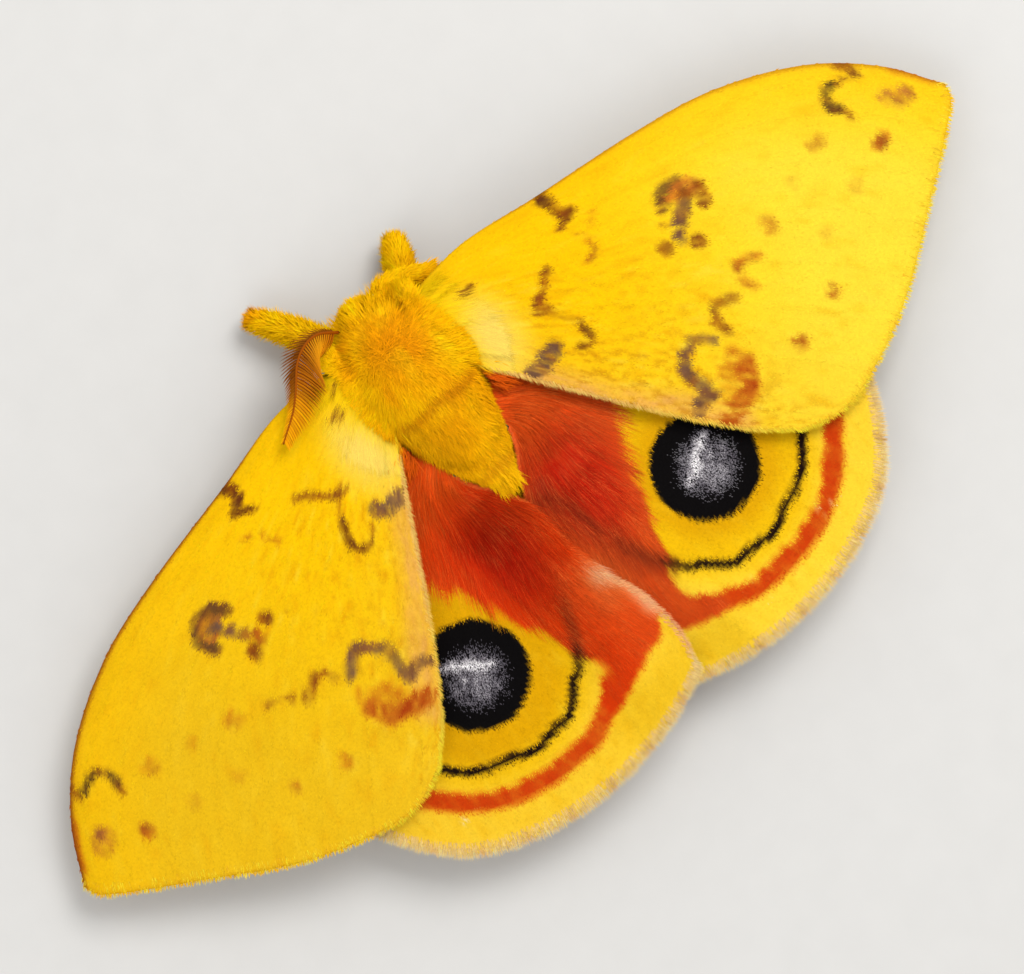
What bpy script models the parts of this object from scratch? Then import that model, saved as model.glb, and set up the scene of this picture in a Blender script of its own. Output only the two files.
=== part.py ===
"""Io moth, a male, life size, at rest with its forewings drawn forward off the eyespots.

All sizes and places are in millimetres in the body's own frame: +Y runs to the tail, +X to the
animal's left, +Z up, the floor at zero. Meshes are scaled to metres as they are made, and one
empty carries the whole animal, so that the frame's origin is under the middle of its outline.
"""

import math
import random

import bmesh
import bpy
from mathutils import Vector

MM = 0.001

# The whole animal
MIDDLE = (-0.095, 7.603)  # half way across, and half way from the forefoot to the hindwings' fringe
GAP = 0.3  # kept between nodes that touch
LEFT, RIGHT = 1, -1
WORDS = {LEFT: "left", RIGHT: "right"}

# Wing sheets
WING_THICK = 0.5
FORE_ROOT_Z = 6.3  # middle of the forewing's sheet where it leaves the thorax
ROOT_X = 4.0
WING_SLOPE = 0.085  # fall for each millimetre outwards
DROOP_FROM = 15.0
TIP_DROOP = 0.0016
CAMBER = 0.35
COSTA_ROLL = 0.45
ROLL_SHARE = 0.12
WING_STEP = 1.15  # from the forewing's sheet down to the hindwing's
NEST = 0.53  # the left hindwing rides this much over the common sheet, the right one as much under
NEST_FROM, NEST_TO = 2.0, 5.0
TENT_WIDTH = 3.2  # half width of the ridge that the abdomen lifts in the hindwings
VEIN_HALF = 0.3
VEIN_TOP, VEIN_UNDER = 0.2, 0.1
BRANCH_RISE = 0.08  # share of the wing's length over which a vein comes up
LEFT_TURN = math.radians(1.2)  # the left forewing is drawn back a little further

# Body cores, half way from skin to coat tips: place of the middle, half width, half height
THORAX = (
    (0.0, -4.3, 4.95, 2.65, 2.5),
    (0.0, -3.2, 5.0, 3.2, 2.9),
    (0.0, -1.6, 5.0, 3.85, 3.2),
    (0.0, 0.2, 5.05, 3.7, 3.3),
    (0.0, 1.8, 5.05, 3.2, 3.1),
    (0.0, 3.2, 4.95, 2.75, 2.75),
    (0.0, 4.4, 4.85, 2.25, 2.35),
)
ABDOMEN = (
    (0.0, 4.7, 4.7, 1.85, 1.9),
    (0.0, 5.6, 4.6, 2.1, 2.1),
    (0.0, 7.2, 4.5, 2.35, 2.25),
    (0.0, 10.0, 4.3, 2.35, 2.2),
    (0.0, 13.0, 4.0, 2.1, 1.95),
    (0.0, 16.0, 3.6, 1.65, 1.55),
    (0.0, 18.3, 3.25, 1.05, 1.0),
    (0.0, 19.3, 3.1, 0.5, 0.5),
)
HEAD = (
    (0.0, -6.2, 4.2, 0.8, 0.9),
    (0.0, -5.85, 4.3, 1.35, 1.45),
    (0.0, -5.3, 4.4, 1.7, 1.75),
    (0.0, -4.6, 4.4, 1.85, 1.85),
)
SEGMENTS = 7
SEGMENT_STEP = 0.13

# Coat locks. A row: share of the body's length, locks, spread either side in degrees, reach as a
# share of the length, backwards or, below zero, forwards
LOCK_THICK = 0.5
ROOT_SINK = 0.45
COAT_LIFT = 0.62  # height of the tips over the core
COLLAR_LIFT = 0.85  # the same where the collar stands over the back of the head
SIDE_SWEEP = 0.42  # how far a side lock turns outwards over the wing root
SEED = 7
THORAX_ROWS = (
    (0.02, 5, 30, 0.33),
    (0.17, 6, 43, 0.35),
    (0.32, 7, 45, 0.36),
    (0.48, 6, 44, 0.34),
    (0.61, 7, 42, 0.32),
    (0.74, 6, 36, 0.27),
    (0.86, 5, 32, 0.17),
)
COLLAR_ROWS = ((0.12, 5, 36, -0.20),)
HEAD_ROWS = (
    (0.82, 4, 30, -0.52),
    (0.52, 3, 24, -0.60),
    (0.26, 3, 24, -0.55),
)
ABDOMEN_ROWS = (
    (0.01, 3, 14, 0.10),
    (0.88, 6, 150, 0.2),
)
FORELEG_ROWS = (
    (0.05, 2, 30, 0.46),
    (0.28, 3, 65, 0.46),
    (0.52, 4, 80, 0.44),
    (0.76, 3, 60, 0.38),
)

# Eyes and feelers
EYE_RADIUS = 0.85
EYE_PLACE = (1.6, -5.45, 4.1)
SHAFT_RADIUS = 0.27
RAY_PITCH = 0.8
RAY_LENGTH = 1.3
RAY_THICK = 0.5
RAY_SWEEP = 0.55  # how far a ray's tip lies towards the antenna's tip, as a share of its length
ANTENNA_LEFT = (
    (1.5, -6.05, 5.4),
    (2.1, -6.4, 6.45),
    (3.1, -6.45, 7.15),
    (4.6, -5.95, 7.45),
    (6.4, -5.05, 7.45),
    (8.4, -3.5, 7.35),
)
ANTENNA_RIGHT = (
    (-1.45, -6.05, 5.4),
    (-2.4, -6.25, 5.35),
    (-3.6, -5.8, 4.9),
    (-5.2, -4.95, 4.45),
    (-7.0, -4.0, 4.15),
    (-8.8, -3.0, 3.95),
)

# Legs: joints from the thorax through hip and knee to ankle and toe, and the radius at each
FOOT_RADIUS = 0.28
FOOT_RISE = FOOT_RADIUS * math.cos(math.pi / 8)  # middle of a foot whose flat side is on the floor
CLAW_LENGTH = 0.5
LEGS = {
    "foreleg_left": ((1.5, -3.2, 3.3), (1.9, -4.7, 1.9), (2.6, -6.3, 2.1), (4.3, -9.1, 0), (4.8, -9.9, 0)),
    "foreleg_right": ((-1.5, -3.2, 3.3), (-2.4, -4.6, 1.9), (-3.3, -5.5, 2.1), (-4.3, -7.4, 0), (-4.7, -8.1, 0)),
    "midleg_left": ((1.9, -0.9, 3.1), (3.2, -1.2, 2.5), (5.0, -1.9, 3.9), (7.2, -2.7, 0), (9.3, -3.3, 0)),
    "midleg_right": ((-1.9, -0.9, 3.1), (-3.2, -1.1, 2.5), (-5.0, -1.6, 3.9), (-7.2, -2.3, 0), (-9.2, -2.7, 0)),
    "hindleg_left": ((1.6, 1.9, 3.1), (2.7, 3.0, 2.4), (3.9, 5.4, 3.5), (5.8, 8.9, 0), (7.0, 11.4, 0)),
    "hindleg_right": ((-1.6, 1.9, 3.1), (-2.7, 3.0, 2.4), (-4.0, 5.3, 3.5), (-6.0, 8.7, 0), (-7.3, 11.1, 0)),
}
LEG_RADII = (0.5, 0.52, 0.44, 0.3, FOOT_RADIUS)
# The furry lobes of the forelegs: place of the middle, half width, half height
LOBES = {
    "foreleg_left": (
        (2.0, -5.1, 2.0, 0.55, 0.5),
        (2.6, -6.4, 2.3, 0.66, 0.6),
        (3.5, -8.1, 2.0, 0.66, 0.58),
        (4.4, -9.5, 1.5, 0.5, 0.45),
    ),
    "foreleg_right": (
        (-2.6, -4.9, 2.0, 0.55, 0.5),
        (-3.3, -5.7, 2.3, 0.66, 0.6),
        (-4.0, -6.8, 2.1, 0.66, 0.58),
        (-4.5, -7.7, 1.6, 0.5, 0.45),
    ),
}


def blend(a, b, share):
    return a + (b - a) * share


def ease(low, high, value):
    """0 below low, 1 above high and smooth between."""
    share = min(max((value - low) / (high - low), 0.0), 1.0)
    return share * share * (3 - 2 * share)


class Curve:
    """A smooth line through a few points of any number of coordinates, by shares of its length."""

    def __init__(self, points):
        self.points = [Vector(p) for p in points]
        self.at = [0.0]
        for a, b in zip(self.points, self.points[1:]):
            self.at.append(self.at[-1] + (b - a).length)
        last = len(self.points) - 1
        self.slopes = []
        for i in range(last + 1):
            low, high = max(i - 1, 0), min(i + 1, last)
            self.slopes.append((self.points[high] - self.points[low]) / (self.at[high] - self.at[low]))

    def point(self, share):
        place = share * self.at[-1]
        i = 0
        while i < len(self.at) - 2 and place > self.at[i + 1]:
            i += 1
        span = self.at[i + 1] - self.at[i]
        u = (place - self.at[i]) / span
        return (
            self.points[i] * (2 * u**3 - 3 * u**2 + 1)
            + self.slopes[i] * (span * (u**3 - 2 * u**2 + u))
            + self.points[i + 1] * (3 * u**2 - 2 * u**3)
            + self.slopes[i + 1] * (span * (u**3 - u**2))
        )

    def along(self, share):
        step = 1e-3
        return self.point(min(share + step, 1)) - self.point(max(share - step, 0))


def new_object(name, mesh, material, parent):
    made = bpy.data.objects.new(name, mesh)
    bpy.context.scene.collection.objects.link(made)
    if material:
        mesh.materials.append(material)
    made.parent = parent
    return made


def mesh_of(name, points, faces):
    """A mesh in metres from points in millimetres, with its faces turned outwards."""
    shape = bmesh.new()
    verts = [shape.verts.new(Vector(p) * MM) for p in points]
    for face in faces:
        shape.faces.new([verts[i] for i in face])
    bmesh.ops.recalc_face_normals(shape, faces=shape.faces)
    mesh = bpy.data.meshes.new(name)
    shape.to_mesh(mesh)
    shape.free()
    return mesh


def tube_faces(rings, sides, closed_end=True):
    """Triangles of a tube of rings, with a cap of triangles at each closed end."""
    faces = []
    for ring in range(rings - 1):
        for side in range(sides):
            a = ring * sides + side
            b = ring * sides + (side + 1) % sides
            faces += [(a, b, b + sides), (a, b + sides, a + sides)]
    faces += [(0, side + 1, side) for side in range(1, sides - 1)]
    if closed_end:
        last = (rings - 1) * sides
        faces += [(last, last + side, last + side + 1) for side in range(1, sides - 1)]
    return faces


class Body:
    """A round body along a smooth route of stations: x, y, z, half width, half height."""

    def __init__(self, stations, ripple=0.0, ripples=1):
        self.curve = Curve(stations)
        self.ripple, self.ripples = ripple, ripples

    def frame(self, share):
        """Middle, way ahead, way across, way up, half width and half height at a share."""
        held = min(max(share, 0.0), 1.0)
        x, y, z, wide, high = self.curve.point(held)
        ahead = Vector(self.curve.along(held)[:3]).normalized()
        across = ahead.cross(Vector((0, 0, 1))).normalized()
        up = across.cross(ahead)
        past = (share - held) * self.curve.at[-1]
        shrink = max(1 - abs(past) / (2.2 * wide), 0.1)
        step = self.ripple * ((share * self.ripples) % 1.0 - 0.5) if 0.02 < share < 0.98 else 0.0
        return Vector((x, y, z)) + ahead * past, ahead, across, up, wide * shrink + step, high * shrink + step

    def point(self, share, angle, grow=0.0):
        """On the surface at a share of its length, at an angle from the top towards its right."""
        middle, _, across, up, wide, high = self.frame(share)
        return middle + across * ((wide + grow) * math.sin(angle)) + up * ((high + grow) * math.cos(angle))

    def normal(self, share, angle):
        _, _, across, up, wide, high = self.frame(share)
        return (across * (math.sin(angle) / wide) + up * (math.cos(angle) / high)).normalized()

    def mesh(self, name, rings, sides, grow=0.0, past=0.0):
        """grow widens it all round, and past lengthens both ends."""
        points = []
        for ring in range(rings):
            share = ring / (rings - 1)
            shift = Vector((0, 0, 0))
            if ring in (0, rings - 1):
                shift = self.frame(share)[1] * (past if ring else -past)
            for side in range(sides):
                points.append(self.point(share, 2 * math.pi * side / sides, grow) + shift)
        return mesh_of(name, points, tube_faces(rings, sides))


THORAX_BODY = Body(THORAX)
ABDOMEN_BODY = Body(ABDOMEN, SEGMENT_STEP, SEGMENTS)
HEAD_BODY = Body(HEAD)


def boolean(target, operation, pieces):
    """Joins or cuts the pieces with target in one step, and removes them."""
    group = bpy.data.collections.new(target.name + "_pieces")
    bpy.context.scene.collection.children.link(group)
    for piece in pieces:
        piece.parent = target.parent
        group.objects.link(piece)
    modifier = target.modifiers.new(operation.lower(), "BOOLEAN")
    modifier.operation = operation
    modifier.operand_type = "COLLECTION"
    modifier.collection = group
    modifier.solver = "MANIFOLD"
    bpy.context.view_layer.update()
    evaluated = target.evaluated_get(bpy.context.evaluated_depsgraph_get())
    mesh = bpy.data.meshes.new_from_object(evaluated)
    target.modifiers.clear()
    target.data = mesh
    for piece in pieces:
        bpy.data.objects.remove(piece)
    bpy.data.collections.remove(group)
    keep_largest(target)


def keep_largest(target):
    """Drops every closed surface of the object but its largest."""
    shape = bmesh.new()
    shape.from_mesh(target.data)
    bmesh.ops.remove_doubles(shape, verts=shape.verts, dist=1e-7)
    left = set(shape.verts)
    islands = []
    while left:
        stack = [left.pop()]
        island = set(stack)
        while stack:
            for edge in stack.pop().link_edges:
                for vert in edge.verts:
                    if vert in left:
                        left.remove(vert)
                        island.add(vert)
                        stack.append(vert)
        islands.append(island)
    islands.sort(key=extent_of)
    loose = [vert for island in islands[:-1] for vert in island]
    bmesh.ops.delete(shape, geom=loose, context="VERTS")
    bmesh.ops.triangulate(shape, faces=shape.faces)
    shape.to_mesh(target.data)
    shape.free()


def extent_of(island):
    low = Vector([min(v.co[i] for v in island) for i in range(3)])
    high = Vector([max(v.co[i] for v in island) for i in range(3)])
    return (high - low).length


def sheet_height(out):
    """Middle of the forewing's sheet, without its camber, at a distance out from the midline."""
    droop = TIP_DROOP * max(out - DROOP_FROM, 0.0) ** 2
    return FORE_ROOT_Z - WING_SLOPE * (out - ROOT_X) - droop


def fore_height(x, y, across, out):
    """Middle of the forewing's sheet, arched over its length and rolled down along its costa."""
    camber = CAMBER * math.sin(math.pi * min(max(across, 0.0), 1.0)) * math.sin(math.pi * min(out + 0.15, 1.0))
    roll = COSTA_ROLL * max(1 - across / ROLL_SHARE, 0.0) ** 2
    return sheet_height(x) + camber - roll


TENT = Curve(
    ((1.5, 5.0), (3.5, 5.6), (5.0, 7.1), (6.4, 7.8), (9.0, 7.85), (13.0, 7.25), (17.0, 6.3), (21.0, 5.3), (26.0, 4.2))
)


def tent_height(y):
    """Height of the ridge in the hindwings over the middle of the abdomen."""
    low, high = TENT.points[0].x, TENT.points[-1].x
    share = min(max((y - low) / (high - low), 0.0), 1.0)
    return TENT.point(share).y


def hind_height(out, y, side):
    """Middle of a hindwing's sheet. The two nest over the abdomen, the left one on top."""
    flat = sheet_height(max(out, 0.0)) - WING_STEP - 0.05 * max(y - 18.0, 0.0)
    tent = (tent_height(y) - flat) * math.exp(-((out / TENT_WIDTH) ** 2))
    nest = side * NEST * (1 - ease(NEST_FROM, NEST_TO, out)) * ease(5.0, 8.5, y)
    return flat + tent + nest


class Wing:
    """A wing's outline in the body's frame for the left side, with veins as lines from root to edge.

    front and back are its leading and inner edges from the root out, rim its outer edge from the
    apex to the inner corner. A vein is its share of the root, its share of the rim, and the share
    of the wing's length where it rises out of the stem beside it."""

    def __init__(self, front, rim, back, veins):
        self.front, self.rim, self.back = Curve(front), Curve(rim), Curve(back)
        self.veins = veins

    def place(self, across, out):
        """The point at a share across from front to back and a share out from root to rim."""
        root_front, root_back = self.front.point(0), self.back.point(0)
        apex, corner = self.rim.point(0), self.rim.point(1)
        ruled = blend(self.front.point(out), self.back.point(out), across)
        ribs = blend(blend(root_front, root_back, across), self.rim.point(across), out)
        corners = blend(blend(root_front, root_back, across), blend(apex, corner, across), out)
        return ruled + ribs - corners

    def lines(self):
        """Each mesh line from root to rim: share at root, share at rim, side of its vein, rise."""
        found = [(0.0, 0.0, 0, None)]
        for stem, edge, rise in self.veins:
            gap_root, gap_rim = stem - found[-1][0], edge - found[-1][1]
            if gap_rim > 0.085:
                found.append((stem - gap_root / 2, edge - gap_rim / 2, 0, None))
            found += [(stem, edge, -1, None), (stem, edge, 0, rise), (stem, edge, 1, None)]
        found.append((blend(found[-1][0], 1.0, 0.5), blend(found[-1][1], 1.0, 0.5), 0, None))
        found.append((1.0, 1.0, 0, None))
        return found


FOREWING = Wing(
    front=(
        (3.0, -4.75),
        (7.5, -5.0),
        (12.5, -4.15),
        (20.0, -2.95),
        (25.0, -1.7),
        (30.0, 0.8),
        (33.5, 4.0),
        (35.85, 7.7),
    ),
    rim=((35.85, 7.7), (35.35, 8.8), (30.0, 12.5), (25.0, 15.7), (20.0, 17.65), (17.4, 17.85), (14.9, 16.9)),
    back=((2.6, -0.1), (4.3, 2.45), (6.0, 5.2), (10.0, 11.4), (12.6, 14.8), (14.9, 16.9)),
    veins=(
        (0.10, 0.045, 0.0),
        (0.21, 0.13, 0.0),
        (0.27, 0.25, 0.40),
        (0.34, 0.37, 0.46),
        (0.49, 0.50, 0.46),
        (0.55, 0.62, 0.0),
        (0.62, 0.75, 0.28),
        (0.84, 0.90, 0.0),
    ),
)
HINDWING = Wing(
    front=((3.0, 2.0), (7.0, 1.9), (12.0, 3.7), (16.8, 7.8), (19.4, 12.4), (20.15, 16.5)),
    rim=(
        (20.15, 16.5),
        (20.0, 18.5),
        (17.0, 22.9),
        (12.6, 25.05),
        (8.0, 25.7),
        (4.0, 25.3),
        (1.0, 24.45),
        (-1.2, 23.4),
    ),
    back=(
        (1.2, 3.2),
        (2.1, 4.4),
        (2.15, 5.2),
        (1.7, 6.3),
        (0.75, 7.6),
        (-0.05, 9.2),
        (-0.3, 12.0),
        (-0.9, 15.2),
        (-1.65, 17.4),
        (-1.95, 20.5),
        (-1.2, 23.4),
    ),
    veins=(
        (0.10, 0.06, 0.0),
        (0.24, 0.20, 0.0),
        (0.31, 0.31, 0.36),
        (0.38, 0.42, 0.42),
        (0.51, 0.53, 0.42),
        (0.58, 0.64, 0.0),
        (0.65, 0.76, 0.28),
        (0.84, 0.89, 0.0),
    ),
)


def vein_height(rise, out):
    """Share of its full height that a vein has at a share of the wing's length."""
    if rise is None:
        return 0.0
    start = ease(rise - 0.02, rise + BRANCH_RISE, out) if rise > 0 else 1.0
    return start * blend(1.0, 0.55, out)


def wing_object(name, wing, side, turn, height, stations, material, parent):
    """One closed sheet, with its veins raised in both faces, and alike triangles on both."""
    hinge = Vector((ROOT_X, -1.0))
    lines = wing.lines()
    top, under = [], []
    for station in range(stations):
        out = station / (stations - 1)
        chord = (wing.back.point(out) - wing.front.point(out)).length
        foot = min(VEIN_HALF, 0.022 * chord) / chord
        opened = ease(0.0, 0.75, out)
        for stem, edge, beside, rise in lines:
            across = blend(stem, edge, opened) + beside * foot
            flat = wing.place(across, out) - hinge
            x = hinge.x + flat.x * math.cos(turn) - flat.y * math.sin(turn)
            y = hinge.y + flat.x * math.sin(turn) + flat.y * math.cos(turn)
            middle = height(x, y, across, out)
            ridge = vein_height(rise, out)
            top.append((side * x, y, middle + WING_THICK / 2 + VEIN_TOP * ridge))
            under.append((side * x, y, middle - WING_THICK / 2 - VEIN_UNDER * ridge))
    count, wide = len(top), len(lines)
    faces = []
    for row in range(stations - 1):
        for column in range(wide - 1):
            a = row * wide + column
            b, c, d = a + 1, a + wide + 1, a + wide
            faces += [(a, b, c), (a, c, d)]
            faces += [(count + a, count + c, count + b), (count + a, count + d, count + c)]
    rim = [column for column in range(wide)]
    rim += [row * wide + wide - 1 for row in range(1, stations)]
    rim += [(stations - 1) * wide + column for column in range(wide - 2, -1, -1)]
    rim += [row * wide for row in range(stations - 2, 0, -1)]
    for a, b in zip(rim, rim[1:] + rim[:1]):
        faces += [(a, count + a, count + b), (a, count + b, b)]
    return new_object(name, mesh_of(name, top + under, faces), material, parent)


def cut_for_thorax(limb, parent):
    """Cuts a wing or leg back to the gap from the thorax, face to face with it."""
    cutter = new_object("thorax_room", THORAX_BODY.mesh("thorax_room", 12, 20, GAP + 0.03, GAP), None, parent)
    boolean(limb, "DIFFERENCE", [cutter])


def forewing(side, material, parent):
    turn = LEFT_TURN if side == LEFT else 0.0
    name = "forewing_" + WORDS[side]
    cut_for_thorax(wing_object(name, FOREWING, side, turn, fore_height, 12, material, parent), parent)


def hindwing(side, material, parent):
    def height(x, y, across, out):
        return hind_height(x, y, side)

    name = "hindwing_" + WORDS[side]
    cut_for_thorax(wing_object(name, HINDWING, side, 0.0, height, 12, material, parent), parent)


LOCK_SECTION = ((-1, 0), (-0.5, 1), (0.5, 1), (1, 0), (0, -1))
RAY_SECTION = ((-1, 0), (0, 1), (1, 0), (0, -1))


def lock_along(centres, ups, widths, thicks, parent, section=LOCK_SECTION):
    """A flat tapered lock through its centres, its flat side turned to the ways up, to a point."""
    points = []
    for i, (wide, thick) in enumerate(zip(widths, thicks)):
        ahead = (centres[i + 1] - centres[i]).normalized()
        across = ahead.cross(ups[i]).normalized()
        up = across.cross(ahead).normalized()
        for share_wide, share_thick in section:
            points.append(centres[i] + across * (wide / 2 * share_wide) + up * (thick / 2 * share_thick))
    sides = len(section)
    faces = tube_faces(len(widths), sides, closed_end=False)
    tip, last = len(points), (len(widths) - 1) * sides
    points.append(centres[-1])
    faces += [(last + i, last + (i + 1) % sides, tip) for i in range(sides)]
    return new_object("lock", mesh_of("lock", points, faces), None, parent)


def over_wings(point):
    """Lifts a point of the coat clear of the wing under it."""
    out = abs(point.x)
    rise = (LOCK_THICK + WING_THICK) / 2 + VEIN_TOP + GAP + 0.16
    fore = sheet_height(out) + rise + 0.2
    hind = hind_height(out, point.y, LEFT) + rise
    fore -= 3.0 * ease(2.6, 5.2, point.y)
    reached = ease(2.0, 2.7, out + ease(3.0, 4.2, point.y)) * ease(-5.6, -5.0, point.y)
    floor = blend(0.0, max(fore, hind), reached)
    return Vector((point.x, point.y, max(point.z, floor)))


def coat_lock(body, share, angle, reach, swing, wide, parent, lift, clear):
    """A lock that lies along a round body from its root, sunk in, to a raised tip."""
    centres, ups = [], []
    sink = min(ROOT_SINK, 0.8 * body.frame(share)[5])
    for step, rise in enumerate((-sink, 0.16 * lift, 0.75 * lift, lift)):
        along = share + reach * step / 3
        turned = angle + swing * step / 3
        up = body.normal(along, turned)
        centre = body.point(along, turned) + up * rise
        if clear and step > 0:
            centre = clear(centre)
            up = (up + Vector((0, 0, 4.0 * ease(1.4, 2.8, abs(centre.x))))).normalized()
        centres.append(centre)
        ups.append(up)
    widths = (wide * 0.8, wide, wide * 0.7)
    thicks = (LOCK_THICK, LOCK_THICK, LOCK_THICK * 0.8)
    return lock_along(centres, ups, widths, thicks, parent)


def coat(body, rows, wide, lift, sweep, parent, seed, clear=None):
    """Rows of overlapping locks over a round body."""
    draw = random.Random(seed)
    locks = []
    for share, count, spread, reach in rows:
        for i in range(count):
            place = i / (count - 1) * 2 - 1
            angle = math.radians(spread * place + draw.uniform(-2, 2))
            along = share + draw.uniform(0, 0.02)
            swing = sweep * place * abs(place) + draw.uniform(-0.09, 0.09)
            length = reach * draw.uniform(0.9, 1.1)
            breadth = wide * draw.uniform(0.88, 1.12)
            locks.append(coat_lock(body, along, angle, length, swing, breadth, parent, lift, clear))
    return locks


def thorax(material, parent):
    """The thorax with its long coat swept back and out over the wing roots."""
    body = new_object("thorax", THORAX_BODY.mesh("thorax", 12, 20), material, parent)
    locks = coat(THORAX_BODY, THORAX_ROWS, 1.05, COAT_LIFT, SIDE_SWEEP, parent, SEED, over_wings)
    locks += coat(THORAX_BODY, COLLAR_ROWS, 1.05, COLLAR_LIFT, 0.1, parent, SEED + 5, over_wings)
    boolean(body, "UNION", locks)


def head(material, parent):
    """The head with its coat brushed forward over the face, and a socket for each eye."""
    body = new_object("head", HEAD_BODY.mesh("head", 7, 16), material, parent)
    boolean(body, "UNION", coat(HEAD_BODY, HEAD_ROWS, 0.85, 0.5, 0.0, parent, SEED + 1))
    sockets = [eye_ball("socket", side, EYE_RADIUS + GAP, None, parent) for side in (LEFT, RIGHT)]
    boolean(body, "DIFFERENCE", sockets)


def abdomen(material, parent):
    body = new_object("abdomen", ABDOMEN_BODY.mesh("abdomen", 22, 12), material, parent)
    boolean(body, "UNION", coat(ABDOMEN_BODY, ABDOMEN_ROWS, 0.9, 0.45, 0.0, parent, SEED + 2))


def eye_ball(name, side, radius, material, parent):
    shape = bmesh.new()
    bmesh.ops.create_icosphere(shape, subdivisions=2, radius=radius * MM)
    place = Vector((side * EYE_PLACE[0], EYE_PLACE[1], EYE_PLACE[2])) * MM
    bmesh.ops.translate(shape, verts=shape.verts, vec=place)
    mesh = bpy.data.meshes.new(name)
    shape.to_mesh(mesh)
    shape.free()
    return new_object(name, mesh, material, parent)


def antenna(name, places, material, parent):
    """A shaft with two rows of rays, swept to its tip and longest near its middle."""
    stations = [(*place, SHAFT_RADIUS, SHAFT_RADIUS) for place in places]
    shaft = Body(stations)
    body = new_object(name, shaft.mesh(name, 12, 6), material, parent)
    count = int(shaft.curve.at[-1] * 0.86 / RAY_PITCH)
    rays = []
    for i in range(count):
        share = 0.14 + 0.84 * i / (count - 1)
        length = RAY_LENGTH * (0.45 + 0.55 * math.sin(math.pi * min(0.12 + share, 1.0)) ** 0.7)
        for side in (LEFT, RIGHT):
            middle, ahead, across, up, _, _ = shaft.frame(share + side * 0.006)
            centres = []
            for step in (0.0, 0.5, 1.0):
                out = length * math.sin(step * math.pi / 2)
                forward = length * RAY_SWEEP * step**1.6
                centres.append(middle + across * (side * out) + ahead * forward - up * (0.12 * step))
            sizes = (RAY_THICK * 1.05, RAY_THICK * 0.95)
            rays.append(lock_along(centres, [up] * 2, sizes, sizes, parent, RAY_SECTION))
    boolean(body, "UNION", rays)


def limb_tube(name, joints, radii, parent):
    """An eight sided limb bent at its joints, with blunt ends and a flat under its foot."""
    sections = []
    for i, (joint, radius) in enumerate(zip(joints, radii)):
        before = (joint - joints[i - 1]).normalized() if i else (joints[1] - joint).normalized()
        after = (joints[i + 1] - joint).normalized() if i < len(joints) - 1 else before
        sections.append((joint, (before + after).normalized(), radius))
    first, last = sections[0], sections[-1]
    sections.insert(0, (first[0] - first[1] * (first[2] * 0.6), first[1], first[2] * 0.6))
    sections.append((last[0] + last[1] * (last[2] * 0.7), last[1], last[2] * 0.6))
    points = []
    for middle, ahead, radius in sections:
        across = ahead.cross(Vector((0, 0, 1))).normalized()
        up = across.cross(ahead)
        for side in range(8):
            angle = math.pi / 8 + side * math.pi / 4
            point = middle + across * (radius * math.cos(angle)) + up * (radius * math.sin(angle))
            point.z = max(point.z, 0.0)
            points.append(point)
    return new_object(name, mesh_of(name, points, tube_faces(len(sections), 8)), None, parent)


def claw(start, ahead, across, parent):
    """A small hook that ends just over the floor."""
    centres = []
    for step in (0.0, 0.5, 1.0):
        drop = 0.2 * step**2 - 0.1 * math.sin(math.pi * step)
        centres.append(start + ahead * (CLAW_LENGTH * step) + across * (0.25 * step) - Vector((0, 0, drop)))
    ups = [Vector((0, 0, 1))] * 2
    return lock_along(centres, ups, (0.24, 0.19), (0.2, 0.17), parent, RAY_SECTION)


def leg(name, material, parent):
    """Hip, knee, ankle and foot in one limb, with two claws and, on a foreleg, its furry lobe."""
    joints = [Vector((x, y, z if z else FOOT_RISE)) for x, y, z in LEGS[name]]
    limb = limb_tube(name, joints, LEG_RADII, parent)
    limb.data.materials.append(material)
    ahead = (joints[-1] - joints[-2]).normalized()
    across = ahead.cross(Vector((0, 0, 1)))
    pieces = [claw(joints[-1] + ahead * 0.05, ahead, across * side, parent) for side in (LEFT, RIGHT)]
    if name in LOBES:
        lobe = Body(LOBES[name])
        pieces.append(new_object("lobe", lobe.mesh("lobe", 6, 9), None, parent))
        pieces += coat(lobe, FORELEG_ROWS, 0.78, 0.36, 0.0, parent, SEED + len(name))
    boolean(limb, "UNION", pieces)
    cut_for_thorax(limb, parent)


def surface(name, colour, roughness):
    material = bpy.data.materials.new(name)
    material.use_nodes = True
    shader = material.node_tree.nodes["Principled BSDF"]
    shader.inputs["Base Color"].default_value = (*colour, 1)
    shader.inputs["Roughness"].default_value = roughness
    shader.inputs["Metallic"].default_value = 0.0
    return material


def main():
    for old in list(bpy.data.objects):
        bpy.data.objects.remove(old)
    wing_yellow = surface("wing_yellow", (0.95, 0.62, 0.02), 0.8)
    hindwing_red = surface("hindwing_red", (0.62, 0.06, 0.01), 0.8)
    body_coat = surface("body_coat", (0.8, 0.48, 0.02), 0.9)
    leg_coat = surface("leg_coat", (0.85, 0.5, 0.02), 0.9)
    ray_brown = surface("antenna", (0.6, 0.22, 0.02), 0.7)
    eye_dark = surface("eye", (0.03, 0.015, 0.01), 0.25)
    moth = bpy.data.objects.new("moth", None)
    bpy.context.scene.collection.objects.link(moth)
    moth.location = (-MIDDLE[0] * MM, -MIDDLE[1] * MM, 0)
    for side in (LEFT, RIGHT):
        forewing(side, wing_yellow, moth)
        hindwing(side, hindwing_red, moth)
        eye_ball("eye_" + WORDS[side], side, EYE_RADIUS, eye_dark, moth)
    thorax(body_coat, moth)
    head(body_coat, moth)
    abdomen(body_coat, moth)
    for name in LEGS:
        leg(name, leg_coat, moth)
    antenna("antenna_left", ANTENNA_LEFT, ray_brown, moth)
    antenna("antenna_right", ANTENNA_RIGHT, ray_brown, moth)
    for made in bpy.data.objects:
        if made.type == "MESH":
            made.data.shade_smooth()


main()
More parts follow.
